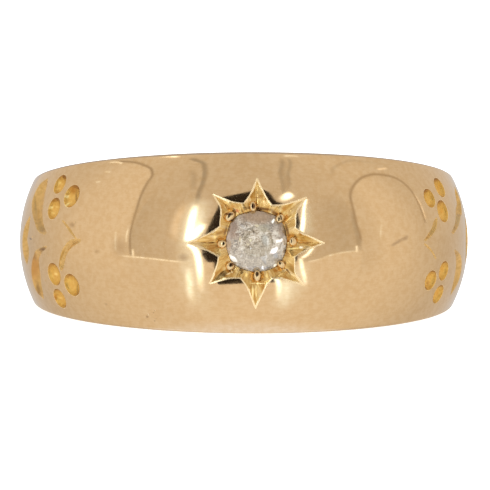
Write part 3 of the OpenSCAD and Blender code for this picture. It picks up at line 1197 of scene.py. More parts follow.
    def grain(self, number: int) -> Piece:
        """Raises one grain and pushes it over the stone's edge.

        Args:
            number: Which grain, anticlockwise from the right.

        Returns:
            A low bead on a root that reaches into the gold.
        """
        angle, distance, size, stretch, lean = self.grains[number]
        a = math.radians(angle)
        radial = Vector((math.cos(a), 0, math.sin(a)))
        tangent = Vector((-math.sin(a), 0, math.cos(a)))
        x, z = distance * radial.x, distance * radial.z + self.raised
        at = self.shank.front(x, z, self.grain_depth)

        def place(p: Vector) -> Vector:
            spread = self.grain_radius * size
            if p.z < 0:
                # Below its waist the bead widens into the metal that the graver pushed up.
                waist = max(math.sqrt(1 - p.z * p.z), self.grain_least)
                spread *= (1 - self.grain_flare * p.z) / waist
            rise = p.z * (self.grain_rise if p.z > 0 else self.grain_root)
            top = Vector((lean[0], 0, lean[1])) * max(p.z, 0.0)
            return (at + radial * (p.x * spread * stretch) + tangent * (p.y * spread)
                    + Vector((0, -rise, 0)) + top)

        bead = primitive(bpy.ops.mesh.primitive_uv_sphere_add, f"grain_{number}", segments=28,
                         ring_count=20, radius=1.0)
        return form(bead, place)


@dataclass(frozen=True)
class Groove:
    """One shoulder cut between two edges, each a row of (angle, height) from end to end."""

    outer: Path
    inner: Path
    depth: float


@dataclass
class Shoulder:
    """The flower cuts of one shoulder: six pits, two crescents, an end cut and a brace."""

    shank: Shank
    name: str
    hand: int
    pits: tuple[tuple[float, float, float], ...]
    grooves: tuple[Groove, ...]
    pit_depth: float = 0.2
    pit_edge: Edge = Edge(wall=1.7, roll=0.03)
    pit_rows: tuple[float, ...] = (0.0, 0.25, 0.5, 0.7)
    pit_turns: int = 32
    groove_edge: Edge = Edge(wall=1.1, roll=0.04)
    groove_rows: int = 40
    row_gap: float = 0.008
    # How much shallower the floors are at the rim than in the middle, as shares of the depth.
    pit_bowl: float = 0.35
    groove_bowl: float = 0.4
    # A groove's greatest depth over half of its width.
    steepest: float = 1.1
    # Share of its depth that a groove has at its ends, and how fast it grows along the way.
    run_out: Pair = (0.15, 6.0)
    # How far ahead and back the groove's way is looked up, and how far beyond its ends each of
    # the last two rows lies.
    look: float = 0.03
    # How square to its path the line between a groove's edges has to be, as a cosine: up to the
    # first value the cut is measured square to the path, and along the line where the cosine is
    # greater by the second.
    squareness: Pair = (0.35, 0.3)
    least_half: float = 0.02
    # How far the tools stand out of the gold.
    pit_above: float = 0.8
    groove_above: float = 0.9

    def pit(self, number: int) -> Piece:
        """Makes the round burr's cut of one pit.

        Args:
            number: Which pit.

        Returns:
            A closed block whose floor is the pit.
        """
        angle, height, radius = self.pits[number]
        middle, east, north, out = self.shank.stand(self.hand * angle, height)
        steps = [*self.pit_rows, *(1 + step / radius for step in reversed(LIP_STEPS))]

        def place(row: int, column: int) -> Vector:
            r = radius * steps[row]
            a = 2 * math.pi * column / self.pit_turns
            floor = self.pit_depth * (1 - self.pit_bowl * min(r / radius, 1.0) ** 2)
            spot = middle + east * (r * math.cos(a)) + north * (r * math.sin(a))
            depth = self.pit_edge.depth(r - radius, floor)
            return self.shank.outside(*self.shank.place_of(spot), depth)

        block = sheet(f"{self.name}_pit_{number}", len(steps) - 1, self.pit_turns, place)
        return close_to_block(block, out * self.pit_above, weld=True)

    def groove(self, number: int) -> Piece:
        """Makes the graver's cut of one crescent, end cut or brace arm.

        Args:
            number: Which cut.

        Returns:
            A closed block whose floor is the cut.
        """
        cut = self.grooves[number]
        ends = self.groove_rows - 4
        cells = len(across_cut(1.0, self.row_gap)) - 1
        end_share, growth = self.run_out
        least_square, blend = self.squareness

        def edges(way: float) -> list[Vector]:
            sides = (smooth_path(side, way) for side in (cut.outer, cut.inner))
            return [self.shank.outside(self.hand * side.x, side.y) for side in sides]

        def place(row: int, column: int) -> Vector:
            t = row - 2
            way = held(t / ends)
            a, b = edges(way)
            middle, chord = (a + b) / 2, (a - b).normalized()
            along = sum(edges(way + self.look), Vector()) - sum(edges(way - self.look), Vector())
            along.normalize()
            square = self.shank.facing(*self.shank.place_of(middle)).cross(along).normalized()
            if square.dot(chord) < 0:
                square.negate()
            # Where the edges run together at an end, the cut is measured square to its path.
            trust = held((square.dot(chord) - least_square) / blend)
            across = square.lerp(chord, trust).normalized()
            half = abs((a - b).dot(across)) / 2
            k = column - cells
            lateral = across_cut(half, self.row_gap)[abs(k)]
            past = max(-t, t - ends, 0) * self.look
            spot = middle + across * math.copysign(lateral, k) + along * math.copysign(past, t)
            floor = 0.0
            beyond = math.hypot(max(lateral - half, 0.0), past)
            if not past:
                beyond = lateral - half
                share = min(1.0, growth * way + end_share, growth * (1 - way) + end_share)
                bowl = 1 - self.groove_bowl * min(lateral / max(half, self.least_half), 1.0) ** 2
                floor = min(cut.depth, self.steepest * half) * bowl * share
            depth = self.groove_edge.depth(beyond, floor)
            return self.shank.outside(*self.shank.place_of(spot), depth)

        block = sheet(f"{self.name}_groove_{number}", self.groove_rows, 2 * cells, place)
        angle, height = cut.outer[len(cut.outer) // 2]
        out = self.shank.facing(self.hand * angle, height)
        return close_to_block(block, out * self.groove_above)

    def tools(self) -> list[tuple[Piece, MetalSlot]]:
        """Makes this shoulder's tools, each with the finish that it leaves."""
        return ([(self.pit(k), MetalSlot.BURRED) for k in range(len(self.pits))]
                + [(self.groove(k), MetalSlot.SCOOPED) for k in range(len(self.grooves))])


# Each shoulder's two crescents, its end cut and the two arms of its brace.
LEFT_GROOVES = (
    Groove(((71.0, 2.86), (75.2, 2.62), (77.0, 2.20), (77.1, 1.85), (75.5, 1.50), (73.0, 1.12),
            (69.3, 0.68), (64.2, 0.36)),
           ((70.8, 2.84), (69.6, 2.55), (68.8, 2.15), (68.1, 1.80), (67.6, 1.45), (66.6, 1.08),
            (65.2, 0.68), (63.4, 0.38)), 0.3),
    Groove(((63.4, -0.20), (67.8, -0.40), (71.4, -0.66), (73.9, -1.05), (75.7, -1.50),
            (76.5, -1.95), (75.6, -2.33), (72.0, -2.60)),
           ((63.2, -0.24), (65.7, -0.42), (68.0, -0.68), (68.7, -1.04), (69.2, -1.49),
            (70.2, -1.92), (71.0, -2.30), (71.9, -2.56)), 0.3),
    Groove(((76.0, 1.14), (79.6, 0.73), (81.5, 0.34), (82.3, 0.00), (82.2, -0.36), (80.8, -0.74),
            (78.6, -1.05)),
           ((75.6, 1.10), (75.4, 0.75), (76.0, 0.38), (76.6, 0.05), (75.4, -0.36), (76.2, -0.72),
            (78.2, -1.01)), 0.27),
    Groove(((56.3, 0.97), (53.9, 0.66), (51.6, 0.33), (50.2, 0.14)),
           ((56.1, 0.97), (53.3, 0.64), (51.0, 0.29), (50.0, 0.12)), 0.06),
    Groove(((48.7, 0.12), (52.2, 0.08), (55.0, -0.24), (56.7, -0.63), (57.8, -1.08), (57.4, -1.27)),
           ((48.7, 0.04), (52.0, -0.22), (54.1, -0.52), (55.3, -0.84), (56.2, -1.14),
            (57.0, -1.27)), 0.15),
)
RIGHT_GROOVES = (
    Groove(((76.6, 2.50), (77.4, 2.15), (77.4, 1.75), (75.6, 1.50), (73.0, 1.22), (69.1, 0.76),
            (64.2, 0.36)),
           ((76.0, 2.46), (73.6, 2.20), (71.9, 1.78), (70.2, 1.50), (68.2, 1.23), (66.4, 0.84),
            (63.2, 0.42)), 0.2),
    Groove(((65.6, -0.36), (71.0, -0.67), (73.8, -1.19), (74.5, -1.71), (72.8, -2.09),
            (70.4, -2.42)),
           ((65.2, -0.40), (67.3, -0.80), (68.3, -1.31), (68.9, -1.82), (69.4, -2.10),
            (70.1, -2.38)), 0.3),
    Groove(((79.6, 1.10), (82.4, 0.80), (83.8, 0.35), (84.2, 0.00), (83.8, -0.36), (82.6, -0.74),
            (80.6, -1.00)),
           ((79.2, 1.06), (78.4, 0.75), (77.4, 0.38), (77.1, 0.05), (77.4, -0.36), (78.3, -0.70),
            (80.0, -0.96)), 0.27),
    Groove(((55.3, 1.10), (55.4, 0.98), (54.3, 0.62), (52.1, 0.31), (49.3, 0.06)),
           ((55.1, 1.10), (53.7, 0.92), (52.4, 0.62), (50.5, 0.34), (48.9, 0.10)), 0.1),
    Groove(((48.9, -0.07), (50.8, -0.22), (52.8, -0.46), (54.5, -0.74)),
           ((48.9, -0.10), (50.5, -0.25), (52.5, -0.48), (54.3, -0.75)), 0.03),
)
# Angle, height and radius of each pit.
LEFT_PITS = ((61.9, 2.60, 0.45), (54.5, 2.07, 0.52), (61.3, 1.51, 0.49),
             (61.1, -1.46, 0.51), (54.1, -1.93, 0.51), (61.8, -2.56, 0.46))
RIGHT_PITS = ((61.7, 2.46, 0.46), (53.9, 1.98, 0.43), (59.4, 1.39, 0.50),
              (59.8, -1.31, 0.44), (53.8, -1.73, 0.45), (60.4, -2.37, 0.44))


@dataclass
class Wear:
    """The knocks and the scratch of a ring that has been worn."""

    shank: Shank
    # Angle, height, half width and depth of each knock.
    knocks: tuple[tuple[float, float, float, float], ...] = (
        (-51.2, 0.88, 0.11, 0.016), (-42.3, -0.29, 0.13, 0.010), (-30.0, -3.21, 0.07, 0.022),
        (-27.7, -3.02, 0.05, 0.022), (-28.2, -3.40, 0.05, 0.020), (-72.1, 0.20, 0.06, 0.030),
        (-62.6, -0.62, 0.05, 0.020), (-66.6, -1.75, 0.05, 0.020), (-44.0, -2.6, 0.06, 0.012))
    # Height of the ball's middle over the gold, and its height over its width, as shares.
    knock_rise: float = 0.6
    knock_height: float = 0.8
    # Angle and height along the long scratch on the right.
    scratch: Path = ((37.4, 0.06), (38.8, 0.13), (40.4, 0.18), (42.8, 0.30))
    scratch_half: float = 0.03
    scratch_depth: float = 0.008
    scratch_rows: int = 24
    # How far its edges lie over the gold, and how far the tool stands out of them.
    scratch_edge: float = 0.01
    scratch_above: float = 0.1
    # How near to its ends it is blunt, as a share of the way, and how blunt it is.
    blunt_from: float = 0.02
    bluntness: float = 0.4

    def knock(self, number: int) -> Piece:
        """Makes a shallow round tool that leaves one knock.

        Args:
            number: Which knock.

        Returns:
            A flattened ball, with its middle just above the gold.
        """
        angle, height, half, depth = self.knocks[number]
        foot, east, north, out = self.shank.stand(angle, height)
        rise = half * self.knock_rise
        middle, deep = foot + out * rise, rise + depth
        wide = half / math.sqrt(1 - (rise / deep) ** 2)
        east, north, out = east * wide, north * (wide * self.knock_height), out * deep
        ball = primitive(bpy.ops.mesh.primitive_ico_sphere_add, f"knock_{number}", subdivisions=3,
                         radius=1.0)
        return form(ball, lambda p: middle + east * p.x + north * p.y + out * p.z)

    def scratch_tool(self) -> Piece:
        """Makes the thin sliver that leaves the scratch.

        Returns:
            A closed three-sided block along the scratch's path.
        """

        def place(row: int, column: int) -> Vector:
            way, side = row / self.scratch_rows, column - 1
            spot = smooth_path(self.scratch, way)
            inner = held(way, self.blunt_from, 1 - self.blunt_from)
            sharp = math.sin(math.pi * inner) ** self.bluntness
            depth = self.scratch_depth * sharp if side == 0 else -self.scratch_edge
            return self.shank.outside(spot.x, spot.y + side * self.scratch_half * sharp, depth)

        block = sheet("scratch", self.scratch_rows, 2, place)
        return close_to_block(block, self.shank.facing(*self.scratch[1]) * self.scratch_above)

    def tools(self) -> list[tuple[Piece, MetalSlot]]:
        """Makes all the tools of wear, each with the finish that it leaves."""
        pieces = [self.knock(k) for k in range(len(self.knocks))] + [self.scratch_tool()]
        return [(piece, MetalSlot.POLISHED) for piece in pieces]


@dataclass
class Band:
    """The whole gold piece: shank, star and both shoulders."""

    shank: Shank = Shank()
    # Depth to which the edges of each finish are rubbed.
    # Depth from the surface within which each finish's edges take the painted edge highlight.
    edge_highlight_to: tuple[float, ...] = (0.0, 0.036, 0.004, 0.0, 0.0, 0.0)
    # How a pit's painted shade grows towards its rim, towards the star and upwards.
    shade_to: tuple[float, float, float] = (0.5, 0.28, 0.16)
    crease_deg: float = 32.0
    # Below its foot by this, a grain's root is a cut wall and not bright.
    root_below: float = 0.01
    # A face leaning less than this from the polished surface, as a cosine, takes its normals.
    true_within: float = 0.9

    def build(self) -> Piece:
        """Models, cuts, smooths and dresses the band.

        Returns:
            The finished piece in the row frame.
        """
        band = self.shank.build()
        for finish in (PolishedGold(), GRAVED, BURRED, WORN_EDGE_HIGHLIGHT, BEADED, SCOOPED):
            band.data.materials.append(finish.build())
        star = Star(self.shank)
        shoulders = [Shoulder(self.shank, "left", -1, LEFT_PITS, LEFT_GROOVES),
                     Shoulder(self.shank, "right", 1, RIGHT_PITS, RIGHT_GROOVES)]
        first, *others = [self.mark(tool, band, slot) for maker in (*shoulders, Wear(self.shank))
                          for tool, slot in maker.tools()]
        for other in others:
            work(first, other, Join.SOLDER)
        work(band, first, Join.CUT_AWAY)
        work(band, self.mark(star.cutter(), band, MetalSlot.GRAVED), Join.CUT_AWAY)
        grains = joined([star.grain(k) for k in range(len(star.grains))], "grains")
        self.mark(grains, band, MetalSlot.BEADED)
        for face in grains.data.polygons:
            if self.shank.sunk(face.center) > star.grain_depth + self.root_below:
                face.material_index = MetalSlot.GRAVED.value
        work(band, grains, Join.SOLDER)
        self.shade_pits(band, shoulders)
        self.smooth(band)
        band.data.transform(self.shank.to_row)
        return band

    @staticmethod
    def mark(tool: Piece, band: Piece, slot: MetalSlot) -> Piece:
        """Gives a tool's faces the finish that they leave on the band.

        Args:
            tool: A cutting tool.
            band: The piece whose material slots it shares.
            slot: The finish.

        Returns:
            The same tool.
        """
        tool.data.materials.clear()
        for material in band.data.materials:
            tool.data.materials.append(material)
        for face in tool.data.polygons:
            face.material_index = slot.value
        return tool

    def shade_pits(self, band: Piece, shoulders: Sequence[Shoulder]) -> None:
        """Writes each pit point's painted shade, which grows towards the rim, the star and the top.

        Args:
            band: The cut band, still in the ring's frame.
            shoulders: Both shoulders, whose pits are looked up.
        """
        to_rim, to_star, upwards = self.shade_to
        middles = [(self.shank.outside(one.hand * angle, height), radius, one.hand)
                   for one in shoulders for angle, height, radius in one.pits]
        shade_value = band.data.attributes.new("pit_shade", "FLOAT", "POINT")
        in_pits = {v for face in band.data.polygons if face.material_index == MetalSlot.BURRED.value
                   for v in face.vertices}
        for number in in_pits:
            point = band.data.vertices[number].co
            middle, radius, hand = min(middles, key=lambda pit: (pit[0] - point).length)
            off = (point - middle) / radius
            away = Vector((-middle.y, middle.x, 0)).normalized() * hand
            shade_value.data[number].value = (to_rim * off.length**3 - to_star * off.dot(away)
                                        + upwards * off.z)

    def smooth(self, band: Piece) -> None:
        """Smooths the shading, and keeps the polished surfaces true up to the cuts' edges.

        Args:
            band: The cut band, still in the ring's frame.
        """
        mesh = band.data
        # Faces of a cut near the surface take the pale finish: a painted highlight along the cut's
        # edge.
        for face in mesh.polygons:
            highlight_depth = self.edge_highlight_to[face.material_index]
            if highlight_depth and all(self.shank.sunk(mesh.vertices[v].co) < highlight_depth for v in face.vertices):
                face.material_index = MetalSlot.WORN_EDGE_HIGHLIGHT.value
        hold(band)
        bpy.ops.object.shade_smooth_by_angle(angle=math.radians(self.crease_deg))
        normals = [corner.vector.copy() for corner in mesh.corner_normals]
        for face in mesh.polygons:
            if face.material_index != MetalSlot.POLISHED.value:
                continue
            for corner in face.loop_indices:
                true = self.shank.true_normal(mesh.vertices[mesh.loops[corner].vertex_index].co)
                if true is not None and true.dot(face.normal) > self.true_within:
                    normals[corner] = true
        mesh.normals_split_custom_set(normals)


@dataclass
class Diamond:
    """The old-cut stone, cut facet by facet from a round blank."""

    shank: Shank
    radius: float = 1.34
    table_sink: float = 0.06
    crown: float = 0.40
    girdle: float = 0.05
    pavilion: float = 0.96
    table_radius: float = 0.70
    culet: float = 0.05
    squareness: float = 0.05
    # The rounds of small facets: how steep they are, as shares of the main facets' tilt, how far
    # out they lie, as shares of a radius, and how far the last two lie over and under the girdle.
    star_tilt: float = 0.8
    upper_tilt: float = 1.22
    lower_tilt: float = 1.08
    star_reach: float = 0.99
    girdle_reach: float = 0.995
    upper_over: float = 0.012
    lower_under: float = 0.01
    # How much the facets' light varies, how it turns from facet to facet, and the table's share.
    glint: float = 0.045
    glint_turns: tuple[float, float, float] = (12.9898, 4.1, 7.7)
    table_glint: float = 0.06
    # The table faces this nearly up, as a cosine.
    table_within: float = 0.99

    def facet(self, angle: float, tilt: float, radius: float, height: float) -> None:
        """Grinds one facet away in edit mode.

        Args:
            angle: Degrees round the stone.
            tilt: Degrees of the facet's normal from the stone's axis, over 90 for the pavilion.
            radius: Distance from the axis of a point on the facet, along the angle.
            height: Height of that point above the girdle.
        """
        a, t = math.radians(angle), math.radians(tilt)
        normal = Vector((math.cos(a) * math.sin(t), math.sin(a) * math.sin(t), math.cos(t)))
        spot = Vector((radius * math.cos(a), radius * math.sin(a), height))
        bpy.ops.mesh.select_all(action="SELECT")
        bpy.ops.mesh.bisect(plane_co=spot, plane_no=normal, use_fill=True, clear_outer=True,
                            threshold=WELD)

    def rounds(self, lowest: float) -> list[tuple[int, float, float, float, float]]:
        """Lists the rounds of facets, from the crown to the culet.

        Args:
            lowest: Height of the blank's lower end.

        Returns:
            Rows of their number and first angle, and then their tilt, radius and height.
        """
        main = math.degrees(math.atan2(self.crown, self.radius - self.table_radius))
        under = math.degrees(math.atan2(self.pavilion, self.radius))
        near_girdle, lower = self.radius * self.girdle_reach, -self.girdle - self.lower_under
        return [(8, 0.0, main, self.radius, 0.0),
                (8, 22.5, main * self.star_tilt, self.table_radius * self.star_reach, self.crown),
                (16, 11.25, main * self.upper_tilt, near_girdle, self.upper_over),
                (8, 0.0, 180 - under, self.radius, -self.girdle),
                (16, 11.25, 180 - under * self.lower_tilt, near_girdle, lower),
                (1, 0.0, 180.0, 0.0, lowest + self.culet)]

    def cushioned(self, point: Vector) -> Vector:
        """Draws a point out towards the stone's soft corners, which the old cutter left."""
        corner = 1 + self.squareness * (1 - math.cos(4 * math.atan2(point.y, point.x))) / 2
        return Vector((point.x * corner, point.y * corner, point.z))

    def dull_or_bright(self, stone: Piece) -> None:
        """Gives each facet its own share of the light that comes back out of the stone."""
        by_number, by_x, by_y = self.glint_turns
        share = stone.data.attributes.new("facet_glint", "FLOAT", "FACE")
        for number, spot in enumerate(share.data):
            facing = stone.data.polygons[number].normal
            turn = by_number * number + by_x * facing.x + by_y * facing.y
            spot.value = self.glint * math.sin(turn)
            if facing.z > self.table_within:
                spot.value = self.table_glint

    def build(self) -> Piece:
        """Cuts the stone and sets it in its seat.

        Returns:
            The finished piece in the row frame.
        """
        low, high = -self.girdle - self.pavilion, self.crown
        stone = primitive(bpy.ops.mesh.primitive_cylinder_add, "old_cut_diamond", vertices=32,
                          radius=self.radius, depth=high - low, location=(0, 0, (low + high) / 2))
        bpy.ops.object.transform_apply(location=True, rotation=False, scale=False)
        with on_the_bench(stone):
            for count, first, tilt, radius, height in self.rounds(low):
                for k in range(count):
                    self.facet(first + 360 / count * k, tilt, radius, height)
        form(stone, self.cushioned)
        self.dull_or_bright(stone)
        top = self.shank.front_y + self.table_sink + self.crown
        seat = Matrix.Translation((0, top, STAR_RAISED)) @ Matrix.Rotation(math.radians(90), 4, "X")
        stone.data.transform(self.shank.to_row @ seat)
        stone.data.materials.append(CloudyDiamond().build())
        return stone


def only_reflected(card: Piece) -> None:
    """Hides a card from everything but reflections and refractions."""
    card.visible_camera = card.visible_diffuse = card.visible_shadow = False
    card.visible_volume_scatter = False


def direction(azimuth_deg: float, elevation_deg: float) -> Vector:
    """The way that an azimuth and an elevation point, with azimuth 0 towards the viewer."""
    a, e = math.radians(azimuth_deg), math.radians(elevation_deg)
    return Vector((math.sin(a) * math.cos(e), -math.cos(a) * math.cos(e), math.sin(e)))


@dataclass(frozen=True)
class Card:
    """A panel of the light tent, given by its directions from the ring.

    Azimuth 0 looks from the ring to the camera and grows to the right. Only reflections see it.
    Fades are the shares of the card over which its left, right, lower and upper edge run out, and
    tones are its brightness at shares of its width.
    """

    name: str
    place: Callable[[float, float], Pair]
    distance: float
    level: float = 1.0
    fades: tuple[float, float, float, float] = (0.0, 0.0, 0.0, 0.0)
    cells: tuple[int, int] = (24, 24)
    tint: tuple[float, float, float] = (1.0, 1.0, 1.0)
    tones: Path = ()

    # The axis of each faded edge on the card, the edge's place on it and the way inwards.
    EDGES: ClassVar[tuple[tuple[str, float, float], ...]] = (
        ("X", 0.0, 1.0), ("X", 1.0, -1.0), ("Y", 0.0, 1.0), ("Y", 1.0, -1.0))

    def glow(self) -> Material:
        """Makes the card's light, brighter or darker from left to right as its tones say."""
        material = bpy.data.materials.new(f"{self.name}_light")
        material.use_nodes = True
        material.cycles.emission_sampling = "NONE"
        steps = Steps(material.node_tree)
        steps.tree.nodes.clear()
        spread = add_node(steps.tree, "ShaderNodeUVMap").outputs[0]
        parts = add_node(steps.tree, "ShaderNodeSeparateXYZ", None, _0=spread)
        colour = (*self.tint, 1.0)
        if self.tones:
            colour = steps.ramp(parts.outputs["X"], [(at, (*(tone * c for c in self.tint), 1.0))
                                                     for at, tone in self.tones])
        light = add_node(steps.tree, "ShaderNodeEmission", None, Color=colour, Strength=self.level)
        shown = light.outputs[0]
        masks = [steps.span(parts.outputs[axis], edge, edge + inwards * fade, kind="SMOOTHSTEP")
                 for fade, (axis, edge, inwards) in zip(self.fades, self.EDGES) if fade]
        if masks:
            clear = add_node(steps.tree, "ShaderNodeBsdfTransparent").outputs[0]
            share = steps.folded("MULTIPLY", masks)
            shown = add_node(steps.tree, "ShaderNodeMixShader", None, _0=share, _1=clear,
                             _2=shown).outputs[0]
        add_node(steps.tree, "ShaderNodeOutputMaterial", None, Surface=shown)
        return material

    def build(self) -> Piece:
        """Hangs the card."""
        across, along = self.cells
        card = sheet(self.name, across, along, lambda row, column: self.distance
                     * direction(*self.place(row / across, column / along)))
        card.data.materials.append(self.glow())
        only_reflected(card)
        return card


def patch(left: float, right: float, low: Path, high: Path) -> Callable[[float, float], Pair]:
    """Spreads a card between two azimuths.

    Args:
        left: The first azimuth.
        right: The second azimuth.
        low: The lower edge, as a table of azimuth and elevation.
        high: The upper edge.

    Returns:
        The rule that gives each point's direction.
    """

    def place(p: float, q: float) -> Pair:
        azimuth = left + (right - left) * p
        a, b = along_table(low, azimuth), along_table(high, azimuth)
        return azimuth, a + (b - a) * q

    return place


def strip(path: Path, width: float) -> Callable[[float, float], Pair]:
    """Spreads a narrow card along a path.

    Args:
        path: Directions, as azimuth and elevation.
        width: Its width in degrees.

    Returns:
        The rule that gives each point's direction.
    """
    ahead_by = 0.002

    def place(p: float, q: float) -> Pair:
        share = p * (1 - ahead_by)
        at, ahead = smooth_path(path, share), smooth_path(path, share + ahead_by)
        squeeze = math.cos(math.radians(at.y))
        way = Vector(((ahead.x - at.x) * squeeze, ahead.y - at.y)).normalized()
        off = Vector((-way.y / squeeze, way.x)) * (width * (0.5 - q))
        return at.x + off.x, at.y + off.y

    return place


# Lamps and glows are cooler than the tent, which the gold would otherwise turn orange.
LAMP_TINT = (0.72, 0.9, 1.12)
GLOW_TINT = (0.86, 0.97, 1.1)
LENS_TINT = (1.0, 0.88, 0.8)
LINE_TINT = (1.08, 0.98, 0.86)
TABLE_TINT = (0.9, 1.0, 1.25)
BACK_TINT = (0.95, 1.04, 1.3)

# Edges of the tent's panels as (azimuth, elevation), read from where the gold mirrors them.
HORIZON = ((-180, -6.0), (-71, -6.6), (-57, -7.2), (-47, -8.0), (-39, -9.0), (-31, -9.5),
           (30, -8.2), (35.2, -6.8), (38.8, -5.0), (42.2, -3.6), (49.2, -2.4), (57, -2.2),
           (180, 2.0))
LEFT_TOP = ((-120, 37), (-118, 39), (-114, 44), (-108, 48), (-100, 51), (-91, 52), (-85, 52),
            (-78, 50), (-75, 46), (-71, 39), (-67, 29), (-65, 19))
RIGHT_TOP = ((59, 18), (61, 28), (65, 36), (73, 41), (84, 43), (95, 41), (102, 37), (107, 32),
             (110, 26))
LEFT_LINE = ((-62, -6), (-63, 1), (-64, 9), (-65, 19), (-67, 29), (-71, 39), (-75, 46), (-78, 50),
             (-85, 52.5), (-91, 52.5), (-100, 51), (-108, 48), (-114, 44), (-118, 39))
RIGHT_LINE = ((59, 2), (59, 10), *RIGHT_TOP[:-1], (108.5, 26), (108, 21), (107, 16), (106, 11),
              (106, 6))
LENS_LOW = ((-24.2, -4), (-21.5, -9), (-17.6, -9), (-17.2, -27), (-5, -26), (12, -25), (14, -25),
            (20, -15), (24, -6), (26, 12), (27.5, 22))
LENS_HIGH = ((-24.2, 1), (-22.8, 15), (-20.3, 30), (-17.5, 44), (-11, 46), (0, 49), (11, 50),
             (14, 47), (16, 40), (24, 36), (27.5, 30))
BACK_LOW = ((112, 70), (135, 52), (150, 20), (165, -4), (195, -4), (210, 20), (225, 52), (248, 70))

# The tent's brightness round the ring, above and below the horizon, as (azimuth, level).
UPPER_TONES = ((-180, 0.75), (-150, 0.66), (-125, 0.67), (-100, 0.71), (-62, 0.66), (-20, 0.64),
               (20, 0.64), (60, 0.68), (85, 0.72), (115, 0.66), (150, 0.66), (180, 0.75))
LOWER_TONES = ((-180, 0.65), (-145, 0.58), (-118, 0.66), (-85, 0.74), (-60, 0.765), (-40, 0.78),
               (0, 0.81), (45, 0.78), (75, 0.77), (98, 0.70), (120, 0.60), (180, 0.65))

# Narrow cards: name, path, width, distance, level, fades and cells. First the tent's dark seams.
WARM_SEAMS = (
    ("left_line", LEFT_LINE, 2.3, 1.48, 0.36, (0.02, 0.05, 0.5, 0.5), (90, 2)),
    ("right_line", RIGHT_LINE, 2.7, 1.48, 0.40, (0.05, 0.03, 0.5, 0.5), (90, 2)),
)
SEAMS = (
    ("right_leg", ((57.4, 0), (57.6, 10), (58.2, 20), (61, 29)),
     4.5, 1.482, 0.50, (0.1, 0.3, 0.5, 0.5), (30, 4)),
    ("right_line_edge", ((109, 22), (108.4, 16), (107.6, 11), (107.2, 8)),
     1.3, 1.47, 1.1, (0.3, 0.1, 0.4, 0.4), (16, 2)),
    ("far_arch", ((66, 50), (72, 53), (81, 55), (97, 53), (106, 46), (115, 36)),
     2.5, 1.47, 0.60, (0.3, 0.3, 0.5, 0.5), (40, 4)),
    ("left_seam", ((-80, 69), (-71, 70), (-56, 70), (-45, 66), (-38, 60), (-34.5, 53), (-33.5, 46),
                   (-32, 40), (-31.5, 34)), 3.6, 1.465, 0.42, (0.1, 0.15, 0.6, 0.25), (60, 4)),
    ("left_seam_shade", ((-58, 63), (-47, 58), (-41, 51), (-38, 45)),
     4.5, 1.47, 0.54, (0.3, 0.4, 0.5, 0.5), (40, 6)),
    ("right_seam_shade", ((50, 73), (36, 65), (31, 58), (27, 50), (25, 44)),
     5.0, 1.475, 0.56, (0.1, 0.3, 0.5, 0.5), (40, 6)),
    ("right_seam", ((57, 75), (35, 66), (29.5, 61), (26, 54), (24, 48), (22.5, 42)),
     2.6, 1.465, 0.46, (0.1, 0.2, 0.5, 0.5), (40, 4)),
    ("right_seam_twin", ((64, 73), (44, 65), (37, 61), (32, 54), (29, 48)),
     2.6, 1.465, 0.48, (0.1, 0.3, 0.5, 0.5), (40, 4)),
    ("halo_far_left", ((-38, 38), (-40, 22), (-39, 4)),
     8.0, 1.455, 0.9, (0.35, 0.35, 0.5, 0.5), (30, 6)),
    ("far_gleam_right", ((103, 41), (111, 37)), 1.6, 1.40, 1.0, (0.3, 0.3, 0.4, 0.4), (8, 2)),
)
# Soft light round the lamps and along the horizon, and the tent's small gaps.
GLOWS = (
    ("rim", HORIZON[1:6], 1.3, 1.50, 1.45, (0.2, 0, 0.4, 0.4), (30, 2)),
    ("rim_right", (*HORIZON[6:11], (60, -2.1)), 1.3, 1.50, 1.2, (0, 0.2, 0.4, 0.4), (30, 2)),
    ("halo_left", ((-30, 44), (-32, 22), (-31, 0), (-29, -58)),
     20.0, 1.46, 1.06, (0.35, 0.25, 0.5, 0.5), (30, 6)),
    ("halo_right", ((25, -8), (24, -24), (20, -50)),
     20.0, 1.46, 1.06, (0.3, 0.35, 0.5, 0.5), (30, 6)),
    ("halo_top_right", ((34, 40), (32, 24), (29, 6)),
     8.0, 1.46, 0.85, (0.35, 0.35, 0.5, 0.5), (30, 6)),
    ("gleam_right", ((75.3, 19), (74, 13), (72, 8), (71.5, 2)),
     1.5, 1.40, 1.12, (0.5, 0.3, 0.5, 0.5), (12, 2)),
    ("gleam_left", ((-66.4, 13), (-65.4, 2)), 1.2, 1.40, 1.3, (0.3, 0.2, 0.4, 0.4), (8, 2)),
    ("gleam_far", ((-73.4, 12), (-71, -5)), 1.3, 1.40, 1.15, (0.3, 0.2, 0.4, 0.4), (8, 2)),
    ("tick_left", ((-61.2, -1), (-60.8, -6.5)), 1.6, 1.40, 1.5, (0.3, 0.1, 0.4, 0.4), (6, 2)),
    ("tick_right", ((56, 2), (56, -3)), 1.6, 1.40, 1.5, (0.3, 0.1, 0.4, 0.4), (6, 2)),
    ("arch_gleam", ((-118, 39.5), (-114, 43.5), (-109, 45.5)),
     1.3, 1.40, 1.5, (0.3, 0.2, 0.4, 0.4), (10, 2)),
    ("arch_gleam_low", ((-111, 37), (-106.5, 39.2)), 1.3, 1.40, 1.2, (0.3, 0.3, 0.4, 0.4), (8, 2)),
    ("arch_gleam_end", ((-108, 31), (-104.4, 33)), 1.3, 1.40, 1.15, (0.3, 0.3, 0.4, 0.4), (8, 2)),
    ("roof_left", ((-103, 59.5), (-97, 62.5), (-88, 67)),
     2.6, 1.40, 2.2, (0.3, 0.3, 0.4, 0.4), (12, 2)),
    ("roof_right", ((64, 75), (71, 73), (77, 70)), 2.2, 1.40, 1.2, (0.3, 0.3, 0.4, 0.4), (12, 2)),
)
